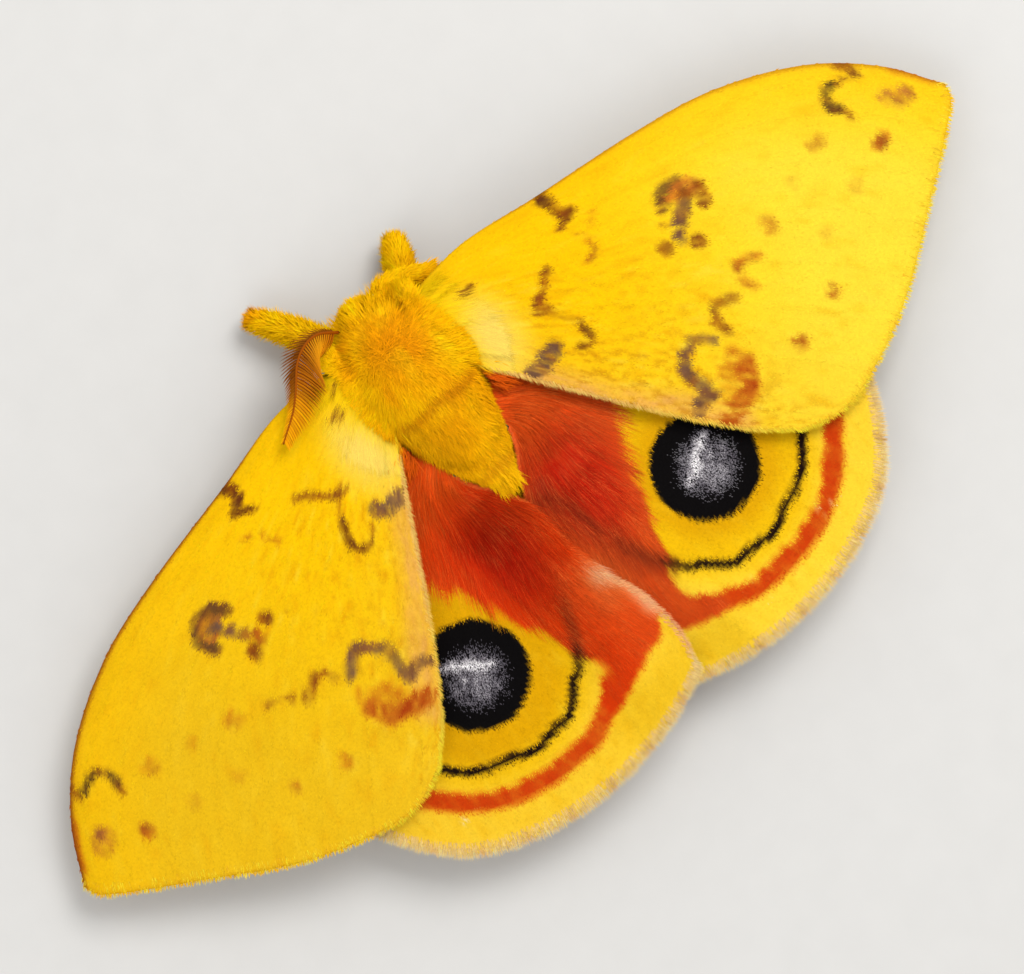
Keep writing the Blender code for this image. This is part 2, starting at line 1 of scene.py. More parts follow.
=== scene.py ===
# %% [markdown]
# # An io moth with its wings drawn open
# The solids from the workshop give the moth's build: where the wings, the body, the legs and the
# feelers lie, in real millimetres. This script dresses them. It lays thin sheets where the wings
# are, one skin over the body, and then thousands of scales and hairs, because almost everything
# that the eye sees on a moth is scale and hair.

import math

import bpy
import numpy as np
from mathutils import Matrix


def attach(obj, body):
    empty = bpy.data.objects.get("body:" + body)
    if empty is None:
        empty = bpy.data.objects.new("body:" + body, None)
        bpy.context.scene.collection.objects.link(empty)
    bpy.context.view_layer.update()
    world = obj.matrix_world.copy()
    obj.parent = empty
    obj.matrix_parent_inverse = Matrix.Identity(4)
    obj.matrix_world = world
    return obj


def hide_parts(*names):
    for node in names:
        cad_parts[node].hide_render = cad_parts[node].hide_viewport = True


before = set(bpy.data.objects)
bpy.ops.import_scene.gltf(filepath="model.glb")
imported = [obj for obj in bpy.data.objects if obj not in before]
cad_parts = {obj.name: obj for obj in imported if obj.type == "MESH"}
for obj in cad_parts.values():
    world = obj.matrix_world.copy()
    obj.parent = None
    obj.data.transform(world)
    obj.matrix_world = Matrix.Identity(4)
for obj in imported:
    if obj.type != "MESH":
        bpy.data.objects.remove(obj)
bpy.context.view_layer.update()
print("solids:", len(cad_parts))

# %% [markdown]
# All measures are in millimetres, in the animal's own frame: x to its left, y to its tail, z up.
# One function turns them into the frame of the solids, which is in metres and centred on the
# outline. Colours are picked as on a screen, from 0 to 255, and turned into light just before
# they are stored, because blending two screen colours looks more natural than blending light.

# %% Units and colours
MM, PER_METRE = 0.001, 1000
MIDDLE = np.array([-0.095, 7.603, 0.0])
LEFT, RIGHT = 1, -1
SIDE_NAMES = {LEFT: "left", RIGHT: "right"}


def in_frame(points):
    return (np.asarray(points, float) - MIDDLE) * MM


def light_of(screen):
    share = np.clip(np.asarray(screen, float) / 255, 0, 1)
    return np.where(share <= 0.04045, share / 12.92, ((share + 0.055) / 1.055) ** 2.4)


def blend(a, b, share):
    return a + (b - a) * share


def ease(low, high, value):
    """0 below low, 1 above high and smooth between."""
    share = np.clip((value - low) / (high - low), 0, 1)
    return share * share * (3 - 2 * share)


def unit(ways):
    return ways / np.maximum(np.linalg.norm(ways, axis=-1, keepdims=True), 1e-12)


# %% [markdown]
# A moth is never evenly coloured: marks have ragged edges and the fur has lighter and darker
# patches. A cloud of random numbers, smoothed between its grid points, gives such patches.
# It is seeded, so the moth comes out the same every time.

# %% Clouds of smooth random numbers
class Cloud:
    def __init__(self, seed):
        self.grid = np.random.default_rng(seed).random((48, 48, 48))

    def at(self, points, size):
        """From -1 to 1, in patches of about the given size in millimetres."""
        place = np.asarray(points, float) / size
        if place.shape[-1] == 2:
            place = np.concatenate([place, np.full(place.shape[:-1] + (1,), 0.5)], -1)
        cell = np.floor(place).astype(int)
        part = place - cell
        part = part * part * (3 - 2 * part)
        total = 0.0
        for corner in range(8):
            step = np.array([corner & 1, corner >> 1 & 1, corner >> 2])
            weight = np.prod(np.where(step, part, 1 - part), -1)
            x, y, z = np.moveaxis((cell + step) % 48, -1, 0)
            total = total + weight * self.grid[x, y, z]
        return total * 2 - 1


CLOUD_A, CLOUD_B, CLOUD_C = Cloud(1), Cloud(2), Cloud(3)
print("cloud sample:", CLOUD_A.at(np.array([[1.0, 2.0, 3.0]]), 0.7))


# %% [markdown]
# Every long shape here follows a smooth line through a few measured points: a wing's edge, an
# antenna, the body from front to tail. The line is walked by shares of its length, from 0 to 1,
# and it takes a whole array of shares at once, which keeps thousands of hairs fast.

# %% Smooth lines
class Line:
    def __init__(self, points):
        self.points = np.array(points, float)
        steps = np.linalg.norm(np.diff(self.points, axis=0), axis=1)
        self.at = np.concatenate([[0.0], np.cumsum(steps)])
        order = np.arange(len(self.points))
        low, high = np.maximum(order - 1, 0), np.minimum(order + 1, len(order) - 1)
        self.slopes = (self.points[high] - self.points[low]) / (self.at[high] - self.at[low])[:, None]
        self.length = self.at[-1]

    def point(self, share):
        place = np.asarray(share, float) * self.length
        i = np.clip(np.searchsorted(self.at, place, side="right") - 1, 0, len(self.at) - 2)
        span = (self.at[i + 1] - self.at[i])[..., None]
        u = ((place - self.at[i]))[..., None] / span
        return (
            self.points[i] * (2 * u**3 - 3 * u**2 + 1)
            + self.slopes[i] * (span * (u**3 - 2 * u**2 + u))
            + self.points[i + 1] * (3 * u**2 - 2 * u**3)
            + self.slopes[i + 1] * (span * (u**3 - u**2))
        )

    def along(self, share):
        share = np.asarray(share, float)
        return unit(self.point(np.minimum(share + 1e-3, 1)) - self.point(np.maximum(share - 1e-3, 0)))


# %% [markdown]
# ## The wings as sheets
# A wing is a patch stretched between its leading edge, its outer rim and its inner edge. Two
# shares find any point on it: one across, from the leading edge to the inner edge, and one out,
# from the root to the rim. Veins, scales and hair all run along these two ways, as on the animal.
# The measures are those of the solids, so the sheets lie exactly inside them.

# %% Outlines of the wings
class Wing:
    def __init__(self, front, rim, back, veins):
        self.front, self.rim, self.back = Line(front), Line(rim), Line(back)
        self.veins = veins

    def place(self, across, out):
        across, out = np.broadcast_arrays(np.asarray(across, float), np.asarray(out, float))
        a, o = across[..., None], out[..., None]
        root = blend(self.front.point(0.0), self.back.point(0.0), a)
        ruled = blend(self.front.point(out), self.back.point(out), a)
        ribs = blend(root, self.rim.point(across), o)
        corners = blend(root, blend(self.rim.point(0.0), self.rim.point(1.0), a), o)
        return ruled + ribs - corners

    def veins_at(self, across, out):
        """Ridges of the veins from 0 to 1, half a millimetre wide."""
        chord = np.linalg.norm(self.back.point(out) - self.front.point(out), axis=-1)
        opened = ease(0.0, 0.75, out)
        ridge = 0.0
        for stem, edge, rise in self.veins:
            off = (across - blend(stem, edge, opened)) * chord
            start = ease(rise - 0.02, rise + 0.08, out) if rise > 0 else 1.0
            ridge = np.maximum(ridge, np.exp(-((off / 0.28) ** 2)) * start * blend(1.0, 0.55, out))
        return ridge


FOREWING = Wing(
    front=((3, -4.75), (7.5, -5), (12.5, -4.15), (20, -2.95), (25, -1.7), (30, 0.8), (33.5, 4), (35.85, 7.7)),
    rim=((35.85, 7.7), (35.35, 8.8), (30, 12.5), (25, 15.7), (20, 17.65), (17.4, 17.85), (14.9, 16.9)),
    back=((2.6, -0.1), (4.3, 2.45), (6, 5.2), (10, 11.4), (12.6, 14.8), (14.9, 16.9)),
    veins=(  # share across at the root, share across at the rim, share out where it starts
        (0.10, 0.045, 0.0),
        (0.21, 0.13, 0.0),
        (0.27, 0.25, 0.40),
        (0.34, 0.37, 0.46),
        (0.49, 0.50, 0.46),
        (0.55, 0.62, 0.0),
        (0.62, 0.75, 0.28),
        (0.84, 0.90, 0.0),
    ),
)
HINDWING = Wing(
    front=((3, 2), (7, 1.9), (12, 3.7), (16.8, 7.8), (19.4, 12.4), (20.15, 16.5)),
    rim=(
        (20.15, 16.5), (20, 18.5), (17, 22.9), (12.6, 25.05), (8, 25.7), (4, 25.3), (1, 24.45), (-1.2, 23.4),
    ),
    back=(
        (1.2, 3.2), (2.1, 4.4), (2.15, 5.2), (1.7, 6.3), (0.75, 7.6), (-0.05, 9.2), (-0.3, 12), (-0.9, 15.2),
        (-1.65, 17.4), (-1.95, 20.5), (-1.2, 23.4),
    ),
    veins=(
        (0.10, 0.06, 0.0),
        (0.24, 0.20, 0.0),
        (0.31, 0.31, 0.36),
        (0.38, 0.42, 0.42),
        (0.51, 0.53, 0.42),
        (0.58, 0.64, 0.0),
        (0.65, 0.76, 0.28),
        (0.84, 0.89, 0.0),
    ),
)

# %% [markdown]
# The forewings slope gently down to their tips and roll down along the leading edge. The
# hindwings lie lower, and rise over the abdomen like a low tent, the left one on top.

# %% Heights of the wings
FORE_ROOT_Z, WING_SLOPE, WING_STEP = 6.3, 0.085, 1.15
TENT = Line(
    ((1.5, 5), (3.5, 5.6), (5, 7.1), (6.4, 7.8), (9, 7.85), (13, 7.25), (17, 6.3), (21, 5.3), (26, 4.2))
)


def sheet_height(out):
    return FORE_ROOT_Z - WING_SLOPE * (out - 4.0) - 0.0016 * np.maximum(out - 15.0, 0) ** 2


def fore_height(x, y, across, out):
    camber = 0.35 * np.sin(np.pi * np.clip(across, 0, 1)) * np.sin(np.pi * np.minimum(out + 0.15, 1))
    return sheet_height(x) + camber - 0.45 * np.maximum(1 - across / 0.12, 0) ** 2


def hind_height(side):
    def height(x, y, across, out):
        flat = sheet_height(np.maximum(x, 0)) - WING_STEP - 0.05 * np.maximum(y - 18.0, 0)
        ridge = TENT.point(np.clip((y - 1.5) / 24.5, 0, 1))[..., 1]
        nest = side * 0.53 * (1 - ease(2.0, 5.0, x)) * ease(5.0, 8.5, y)
        return flat + (ridge - flat) * np.exp(-((x / 3.2) ** 2)) + nest

    return height


# %% [markdown]
# A sheet knows its wing, its side and its height, and gives any point on its upper or under
# face, with the ways out, across and off the face there. Scales and hairs ask it where to stand.

# %% Sheets
HINGE = np.array([4.0, -1.0])
SHEET_THICK = 0.14
VEIN_RISE = 0.06


class Sheet:
    def __init__(self, wing, side, turn, height, inset):
        self.wing, self.side, self.turn, self.height = wing, side, turn, height
        self.inset = inset

    def flat(self, across, out):
        """Place from above, with x outwards on both sides."""
        p = self.wing.place(across, out) - HINGE
        c, s = math.cos(self.turn), math.sin(self.turn)
        return HINGE[0] + p[..., 0] * c - p[..., 1] * s, HINGE[1] + p[..., 0] * s + p[..., 1] * c

    def at(self, across, out, face=1, lift=0.0):
        across, out = np.asarray(across, float), np.asarray(out, float)
        x, y = self.flat(across, out)
        swell = VEIN_RISE * self.wing.veins_at(across, out)
        swell = swell + 0.05 * CLOUD_A.at(np.stack([x, y], -1), 2.6)
        z = self.height(x, y, across, out) + swell + face * (SHEET_THICK / 2 + lift)
        return np.stack([self.side * x, y, z], -1)

    def ways(self, across, out, face=1):
        """Way out, way across and way off the face."""
        e = 2e-3
        outward = self.at(across, np.minimum(out + e, 1)) - self.at(across, out - e)
        sideways = self.at(np.minimum(across + e, 1), out) - self.at(np.maximum(across - e, 0), out)
        off = unit(np.cross(outward, sideways))
        off = off * (np.sign(off[..., 2:]) * face)
        return unit(outward), unit(sideways), off

    def scatter(self, count, rng, low=(0.0, 0.0), high=(1.0, 1.0)):
        """Shares of about count places, spread evenly over the sheet's area."""
        shares = rng.uniform(low, high, (count * 3, 2))
        a, o = shares[:, 0], shares[:, 1]
        e = 2e-3
        x0, y0 = self.flat(a, o)
        x1, y1 = self.flat(a + e, o)
        x2, y2 = self.flat(a, o + e)
        area = np.abs((x1 - x0) * (y2 - y0) - (x2 - x0) * (y1 - y0))
        full = np.percentile(area, 99)
        shown = rng.random(len(a)) < area / full * min(1.0, count / (len(a) * area.mean() / full))
        return a[shown], o[shown]


FORE_TURN = {LEFT: math.radians(1.2), RIGHT: 0.0}
FORE_INSET, HIND_INSET = (0.003, 0.99, 0.992), (0.004, 0.98, 0.974)  # first and last share across, last out
SHEETS = {}
for side, side_name in SIDE_NAMES.items():
    SHEETS["forewing_" + side_name] = Sheet(FOREWING, side, FORE_TURN[side], fore_height, FORE_INSET)
    SHEETS["hindwing_" + side_name] = Sheet(HINDWING, side, 0.0, hind_height(side), HIND_INSET)
print("sheets:", sorted(SHEETS))

# %% [markdown]
# ## Wing markings
# The markings are painted by rules and not by a picture: a stroke is dark within so many tenths
# of a millimetre of a line, a spot within so many of a point. The same rules colour the sheet
# and every scale over it, so marks break up into scales at their edges, as real ones do.

# %% Strokes and spots
def stroke(x, y, points, half, soft=0.12):
    """1 on a line through points, or round a single point, and 0 off it."""
    points = np.array(points, float)
    near = np.hypot(x - points[0, 0], y - points[0, 1])
    for a, b in zip(points, points[1:]):
        d = b - a
        share = np.clip(((x - a[0]) * d[0] + (y - a[1]) * d[1]) / (d @ d), 0, 1)
        near = np.minimum(near, np.hypot(x - a[0] - share * d[0], y - a[1] - share * d[1]))
    return 1 - ease(half - soft, half + soft, near)


def spot(x, y, middle, radius, soft=0.15, tall=1.0):
    far = np.hypot(x - middle[0], (y - middle[1]) / tall)
    return 1 - ease(radius - soft, radius + soft, far)


def away(x, y, place):
    return np.hypot(x - place[0], y - place[1])


def plain(colour, count):
    """The same colour for each of count points."""
    return np.tile(np.array(colour, float), (count, 1))


def lay(colours, mask, colour):
    """Lays a colour over others by a mask."""
    return colours + (np.array(colour, float) - colours) * np.clip(mask, 0, 1)[..., None]


def smooth_stroke(points, count):
    return Line(points).point(np.linspace(0, 1, count)) if len(points) > 1 else np.array(points)


# %% [markdown]
# The forewing is a warm yellow, deeper along the leading edge and at the root, with fine streaks
# that follow the veins. Its marks are umber, violet grey and rust: a bar on the leading edge, a
# broken band near the root, a mark like a hook in the middle, and two rows of spots further out.
# The left and the right wing differ a little, as they do on every animal, so each has its list.

# %% Marks of the forewings
DARK, BROWN, RUST, VIOLET, PINK = (96, 46, 12), (136, 70, 16), (196, 96, 20), (122, 88, 66), (196, 116, 56)
UMBER, AMBER, INK = (104, 70, 36), (230, 134, 40), (72, 50, 24)
FORE_MARKS = {  # points, half width, colour, strength
    RIGHT: (
        (((12.9, -3.8), (12.9, -3.1), (12.9, -2.6), (13.1, -2.0)), 0.36, DARK, 0.95),
        (((13.7, -2.1), (13.2, -2.0), (12.6, -1.7)), 0.25, DARK, 0.9),
        (((14.5, -1.1), (14.0, -0.7)), 0.17, RUST, 0.5),
        (((13.0, -0.6), (13.2, 0.2), (13.1, 0.7), (12.4, 0.9)), 0.18, RUST, 0.6),
        (((5.4, -2.9), (5.7, -2.7), (6.2, -2.7)), 0.15, DARK, 0.95),
        (((5.2, -1.6),), 0.28, VIOLET, 0.4),
        (((10.2, -0.4), (9.6, 0.0), (9.0, 0.4), (8.5, 0.7)), 0.28, BROWN, 0.85),
        (((8.5, 0.7), (8.1, 1.0), (8.5, 1.3)), 0.3, BROWN, 0.9),
        (((8.5, 1.4), (8.9, 2.1), (9.1, 2.6), (9.4, 2.9)), 0.1, BROWN, 0.5),
        (((9.5, 3.2), (9.5, 3.7), (9.5, 4.2), (9.3, 4.6), (9.0, 4.6), (8.7, 4.4)), 0.23, DARK, 0.85),
        (((7.3, 3.4), (6.6, 3.5), (5.9, 3.7), (5.3, 3.6)), 0.5, VIOLET, 0.95),
        (((17.9, 1.4), (18.2, 1.1), (18.6, 0.8)), 0.46, UMBER, 0.95),
        (((18.6, 0.8), (19.1, 0.8), (19.5, 0.9)), 0.34, UMBER, 0.9),
        (((20.0, 1.3), (20.2, 1.7), (20.2, 2.1)), 0.3, AMBER, 0.8),
        (((20.25, 2.1), (20.1, 2.6), (19.9, 2.8)), 0.5, BROWN, 0.95),
        (((18.7, 1.5), (19.4, 1.3), (19.7, 1.9)), 0.42, AMBER, 0.9),
        (((19.3, 1.9), (18.9, 2.1)), 0.44, BROWN, 0.9),
        (((18.8, 2.2), (18.2, 2.8), (17.7, 3.2)), 0.46, VIOLET, 0.95),
        (((17.7, 3.2), (17.4, 3.7)), 0.32, VIOLET, 0.6),
        (((17.0, 2.2), (17.4, 2.5)), 0.12, BROWN, 0.6),
        (((16.3, 3.5),), 0.48, BROWN, 0.9),
        (((18.1, 4.5),), 0.5, BROWN, 0.92),
        (((31.5, 2.2), (31.9, 2.6), (32.0, 2.9), (32.0, 3.4)), 0.24, BROWN, 0.85),
        (((32.0, 3.4), (31.1, 3.1), (30.7, 3.1)), 0.13, BROWN, 0.75),
        (((30.4, 2.9), (29.8, 3.0), (29.5, 3.4), (29.5, 4.0), (29.8, 4.3)), 0.3, INK, 0.9),
        (((29.8, 4.3), (30.0, 4.8), (30.0, 5.3)), 0.16, BROWN, 0.6),
        (((32.4, 5.7), (32.8, 6.2), (33.5, 6.3)), 0.54, PINK, 0.7),
        (((30.1, 7.5), (30.6, 7.4)), 0.45, RUST, 0.85),
        (((27.1, 4.8), (27.6, 4.9)), 0.4, RUST, 0.45),
        (((24.6, 5.7),), 0.45, RUST, 0.18),
        (((27.4, 8.3),), 0.5, RUST, 0.3),
        (((24.1, 9.3),), 0.45, RUST, 0.2),
        (((21.8, 6.6),), 0.62, RUST, 0.58),
        (((20.1, 7.6), (19.5, 7.2), (18.8, 7.1), (18.6, 7.6), (18.5, 8.1), (18.7, 8.7)), 0.24, RUST, 0.7),
        (((17.4, 8.4), (16.6, 8.1), (16.1, 8.0), (15.8, 8.4), (15.6, 9.0), (15.7, 9.6)), 0.3, BROWN, 0.75),
        (((14.8, 9.5), (14.2, 8.9), (13.6, 8.6), (13.3, 8.7)), 0.28, VIOLET, 0.8),
        (((13.3, 8.7), (12.8, 9.0), (12.4, 9.3), (12.2, 9.8), (12.3, 10.6), (12.4, 11.3)), 0.4, VIOLET, 0.95),
        (((12.6, 12.0), (12.0, 11.7), (11.6, 11.7), (11.2, 11.9), (10.9, 12.2)), 0.34, VIOLET, 0.95),
        (((22.0, 12.1),), 0.46, RUST, 0.66),
        (((18.5, 13.1),), 0.54, RUST, 0.62),
    ),
    LEFT: (
        (((12.9, -3.7), (12.6, -3.4), (12.7, -2.8), (13.1, -2.3)), 0.37, DARK, 0.95),
        (((13.4, -2.2), (12.9, -2.0), (12.3, -1.7)), 0.2, DARK, 0.9),
        (((12.9, -0.2), (12.8, 0.3), (12.6, 0.8)), 0.18, RUST, 0.55),
        (((13.9, -0.9), (13.6, -0.5)), 0.16, RUST, 0.5),
        (((4.3, -2.6), (4.9, -2.4), (5.5, -2.6)), 0.15, BROWN, 0.95),
        (((4.0, -3.9), (4.0, -3.8)), 0.12, BROWN, 0.8),
        (((5.1, -1.5),), 0.28, VIOLET, 0.4),
        (((10.0, -0.4), (9.4, -0.1), (8.9, 0.4), (8.3, 0.8), (7.9, 1.1), (7.5, 1.0)), 0.26, BROWN, 0.85),
        (((8.0, 1.2), (8.5, 1.7), (8.9, 2.3)), 0.1, BROWN, 0.45),
        (((9.0, 2.5), (9.3, 3.2), (9.5, 3.6), (9.5, 4.1), (9.2, 4.5), (8.6, 4.5)), 0.22, DARK, 0.85),
        (((8.6, 4.5), (8.1, 4.3), (7.8, 3.8)), 0.13, BROWN, 0.6),
        (((6.9, 3.3), (6.4, 3.6), (5.8, 3.6), (5.1, 3.7)), 0.5, VIOLET, 0.95),
        (((17.7, 1.6), (18.2, 1.3), (18.5, 1.0)), 0.44, UMBER, 0.95),
        (((18.5, 1.0), (19.2, 0.9), (19.7, 1.2), (20.0, 1.7)), 0.34, UMBER, 0.9),
        (((20.0, 1.8), (20.0, 2.4), (19.8, 2.9)), 0.46, UMBER, 0.95),
        (((18.7, 1.6), (19.3, 1.6), (19.5, 2.2)), 0.4, AMBER, 0.9),
        (((18.9, 2.0), (18.5, 2.6), (18.0, 3.0), (17.7, 3.5)), 0.4, VIOLET, 0.95),
        (((17.7, 3.5), (17.4, 4.0), (17.3, 4.4)), 0.3, RUST, 0.7),
        (((16.3, 3.6),), 0.44, BROWN, 0.9),
        (((18.1, 4.7),), 0.5, BROWN, 0.9),
        (((32.0, 3.2), (32.0, 3.9)), 0.22, BROWN, 0.75),
        (((31.6, 3.9), (31.1, 3.7), (30.3, 3.5), (29.8, 3.8), (29.6, 4.3), (29.7, 4.9)), 0.24, INK, 0.92),
        (((29.7, 4.9), (29.8, 5.5)), 0.18, BROWN, 0.6),
        (((32.4, 6.7), (32.8, 7.1)), 0.7, PINK, 0.75),
        (((30.2, 8.2),), 0.52, RUST, 0.85),
        (((27.5, 5.4),), 0.6, RUST, 0.45),
        (((24.6, 6.1),), 0.45, RUST, 0.2),
        (((21.8, 6.8),), 0.62, RUST, 0.42),
        (((23.8, 9.4),), 0.5, RUST, 0.2),
        (((26.9, 8.8),), 0.45, RUST, 0.25),
        (((18.5, 13.2),), 0.42, RUST, 0.5),
        (((21.8, 12.3),), 0.4, RUST, 0.45),
        (((19.9, 7.6), (19.0, 7.6), (18.7, 7.8), (18.4, 8.3)), 0.22, BROWN, 0.5),
        (((17.7, 8.9), (17.0, 8.5), (16.3, 8.2), (15.8, 8.4), (15.6, 9.0)), 0.3, BROWN, 0.72),
        (((14.8, 9.6), (14.3, 9.1), (13.5, 8.7), (13.0, 9.0), (12.5, 9.4)), 0.34, VIOLET, 0.92),
        (((12.5, 9.4), (12.1, 9.8), (12.1, 10.4), (12.2, 11.0), (12.4, 11.7)), 0.34, VIOLET, 0.9),
        (((12.3, 12.1), (11.6, 11.8), (11.0, 11.9), (10.5, 12.2)), 0.36, VIOLET, 0.95),
    ),
}
MARK_LINES = {
    side: [(smooth_stroke(points, 14), *rest) for points, *rest in marks]
    for side, marks in FORE_MARKS.items()
}
RUST_PATCHES = (  # points, half width, strength
    (((15.1, 11.8), (14.8, 12.4), (14.5, 13.0)), 0.66, 0.95),
    (((14.0, 13.2), (13.4, 13.4), (12.2, 13.6)), 0.6, 1.0),
    (((15.0, 11.0), (14.1, 11.4), (13.6, 12.2)), 0.6, 0.45),
)
print("marks:", {SIDE_NAMES[side]: len(marks) for side, marks in FORE_MARKS.items()})


# %% Forewing colours
# Outer yellow of each forewing. The left one is darker than the right one: painted shade, since less light falls
# on the left wing.
FAR_YELLOW_AND_SIDE_SHADE = {LEFT: (238, 190, 24), RIGHT: (255, 224, 60)}
BUFF_EDGE = ((5.4, 3.9), (6.3, 5.4), (7.9, 8.0), (9.4, 9.8), (10.6, 11.1), (12.6, 14.2))
TIP_EDGE = {LEFT: ((33.5, 4.9), (34.4, 6.2), (34.9, 7.2)), RIGHT: ((34.0, 4.5), (34.7, 5.5), (35.4, 6.7))}
FRONT_LINE = {LEFT: (0.85, (158, 78, 18)), RIGHT: (0.6, (200, 124, 20))}  # strength, colour
DASH_STRENGTH = {LEFT: 0.2, RIGHT: 0.4}


def streaky(sheet, across, out):
    """Noise from -1 to 1 in fine lines that run out along the wing."""
    grid = np.stack([across * 105, out * 44], -1) + 50 * (sheet.side < 0)
    return 0.6 * CLOUD_C.at(grid, 1.0) + 0.5 * CLOUD_A.at(grid, 2.3)


def forewing_colours(sheet, across, out):
    x, y = sheet.flat(across, out)
    own = np.stack([x, y], -1) + 100 * (sheet.side < 0)
    streaks = streaky(sheet, across, out)
    outward = unit(np.stack([x - 1.0, y + 3.0], -1))
    drift = 0.36 * streaks + 0.14 * CLOUD_B.at(own, 0.9)
    drift = drift * blend(1.0, 0.55, ease(20, 27, x))
    wx, wy = x + drift * outward[:, 0], y + drift * outward[:, 1] + 0.1 * CLOUD_C.at(own, 0.6)
    colours = plain((255, 201, 0), len(x))
    # paler yellow further out, darker on the left wing as painted shade
    colours = lay(colours, ease(11, 27, away(x, y, (0, -2))) * 0.9, FAR_YELLOW_AND_SIDE_SHADE[sheet.side])
    colours = lay(colours, (1 - ease(0.02, 0.28, across)) * 0.6, (255, 196, 0))
    colours = lay(colours, (1 - ease(4, 12, x)) * 0.6, (254, 194, 0))
    colours = lay(colours, ease(0.55, 1.0, across) * 0.4, (250, 200, 40))
    smudge = ease(-0.5, 0.6, CLOUD_B.at(own, 2.2)) * (1 - ease(13, 22, x)) * ease(0.25, 0.5, across)
    smudge = np.maximum(smudge + 0.15, 0.8 * ease(0.7, 0.85, across) * (1 - ease(14, 20, x)))
    colours = lay(colours, (0.15 + 0.5 * smudge) * ease(0.05, 0.75, streaks), (226, 150, 0))
    colours = lay(colours, (0.12 + 0.5 * smudge) * ease(0.05, 0.75, -streaks), (255, 220, 70))
    specks = ease(0.72, 0.86, CLOUD_C.at(own + 13, 0.21)) * smudge * ease(0.3, 0.45, across)
    colours = lay(colours, specks * 0.4 * (1 - ease(14, 20, x)), (160, 96, 6))
    buff = stroke(x, y, BUFF_EDGE, 0.85, 0.75)
    colours = lay(colours, buff * (0.75 + 0.5 * streaks), (238, 176, 84))
    dashes = ease(-0.05, 0.6, CLOUD_C.at(np.stack([across * 165, out * 60], -1) + 77 * sheet.side, 1.0))
    dashes = dashes * ease(3, 6, x) * (1 - ease(13, 19, x)) * ease(0.22, 0.5, across)
    dashes = dashes * DASH_STRENGTH[sheet.side] * (0.55 + 0.6 * ease(0.6, 0.85, across))
    colours = lay(colours, dashes, (186, 118, 6))
    cream = spot(x, y, (5.2, 0.3), 1.9, 1.0, 1.5)
    colours = lay(colours, cream * 0.7, (255, 220, 92))
    colours = lay(colours, stroke(x, y, TIP_EDGE[sheet.side], 0.34, 0.3) * 0.8, (176, 66, 14))
    strength, colour = FRONT_LINE[sheet.side]
    front_line = (1 - ease(0.004, 0.02, across)) * ease(0.1, 0.25, out)
    colours = lay(colours, front_line * strength, colour)
    rim = ease(0.975, 0.998, out) * (0.3 + 0.35 * CLOUD_B.at(own, 1.0))
    colours = lay(colours, rim, (232, 158, 24))
    soot = np.clip(0.4 + 0.9 * CLOUD_C.at(own, 0.5), 0, 1)
    ember = 0.3 + 0.9 * CLOUD_A.at(own + 7, 0.45)
    mottled = np.clip(0.85 + 1.1 * streaks + 0.7 * CLOUD_B.at(own + 3, 0.3), 0.1, 1.4)
    even = 0.88 + 0.9 * streaks
    for points, half, strength in RUST_PATCHES:
        mask = stroke(wx, wy, points, half, 0.28) * strength * (0.85 + 1.2 * streaks)
        colours = lay(colours, mask, (196, 104, 22))
        colours = lay(colours, mask * mask * ember, (160, 50, 8))
    ember = np.clip(ember, 0, 1)
    for points, half, colour, strength in MARK_LINES[sheet.side]:
        mask = stroke(wx, wy, points, half, 0.2) * strength * blend(mottled, even, ease(0.62, 0.9, strength))
        shade = lay(plain(colour, len(x)), 0.55 * ember, (176, 88, 16))
        shade = lay(shade, 0.45 * soot, (98, 62, 40))
        colours = colours + (shade - colours) * np.clip(mask, 0, 1)[:, None]
    return colours


def forewing_under_colours(sheet, across, out):
    x, y = sheet.flat(across, out)
    own = np.stack([x, y], -1) + 31
    colours = plain((238, 184, 40), len(x))
    colours = lay(colours, (1 - ease(0.0, 0.2, across)) * 0.5, (226, 142, 50))
    colours = lay(colours, (0.4 + 0.4 * CLOUD_A.at(own, 3.0)) * ease(0.5, 1, across), (222, 120, 50))
    colours = lay(colours, spot(x, y, (18.8, 2.6), 1.7, 0.2), (60, 44, 46))
    colours = lay(colours, spot(x, y, (18.8, 2.6), 0.5, 0.2), (236, 230, 226))
    colours = lay(colours, stroke(x, y, ((27.5, 2.2), (24, 9), (16, 14)), 0.22) * 0.6, (150, 84, 50))
    return colours


# %% [markdown]
# The hindwing carries the startling part: a black eyespot with a silvery pupil on gold, a thin
# wavy black arc and a red arc round it, deep red hair from the root to the inner edge, a yellow
# border and a tan fringe. The pupil is black dusted with white scales, so each scale there
# is given its own chance of being white, highest along one short bright streak.

# %% Marks of the hindwings
BORDER_YELLOW = {LEFT: (250, 202, 42), RIGHT: (255, 212, 50)}
RED_BASE = {LEFT: (214, 56, 2), RIGHT: (204, 68, 16)}
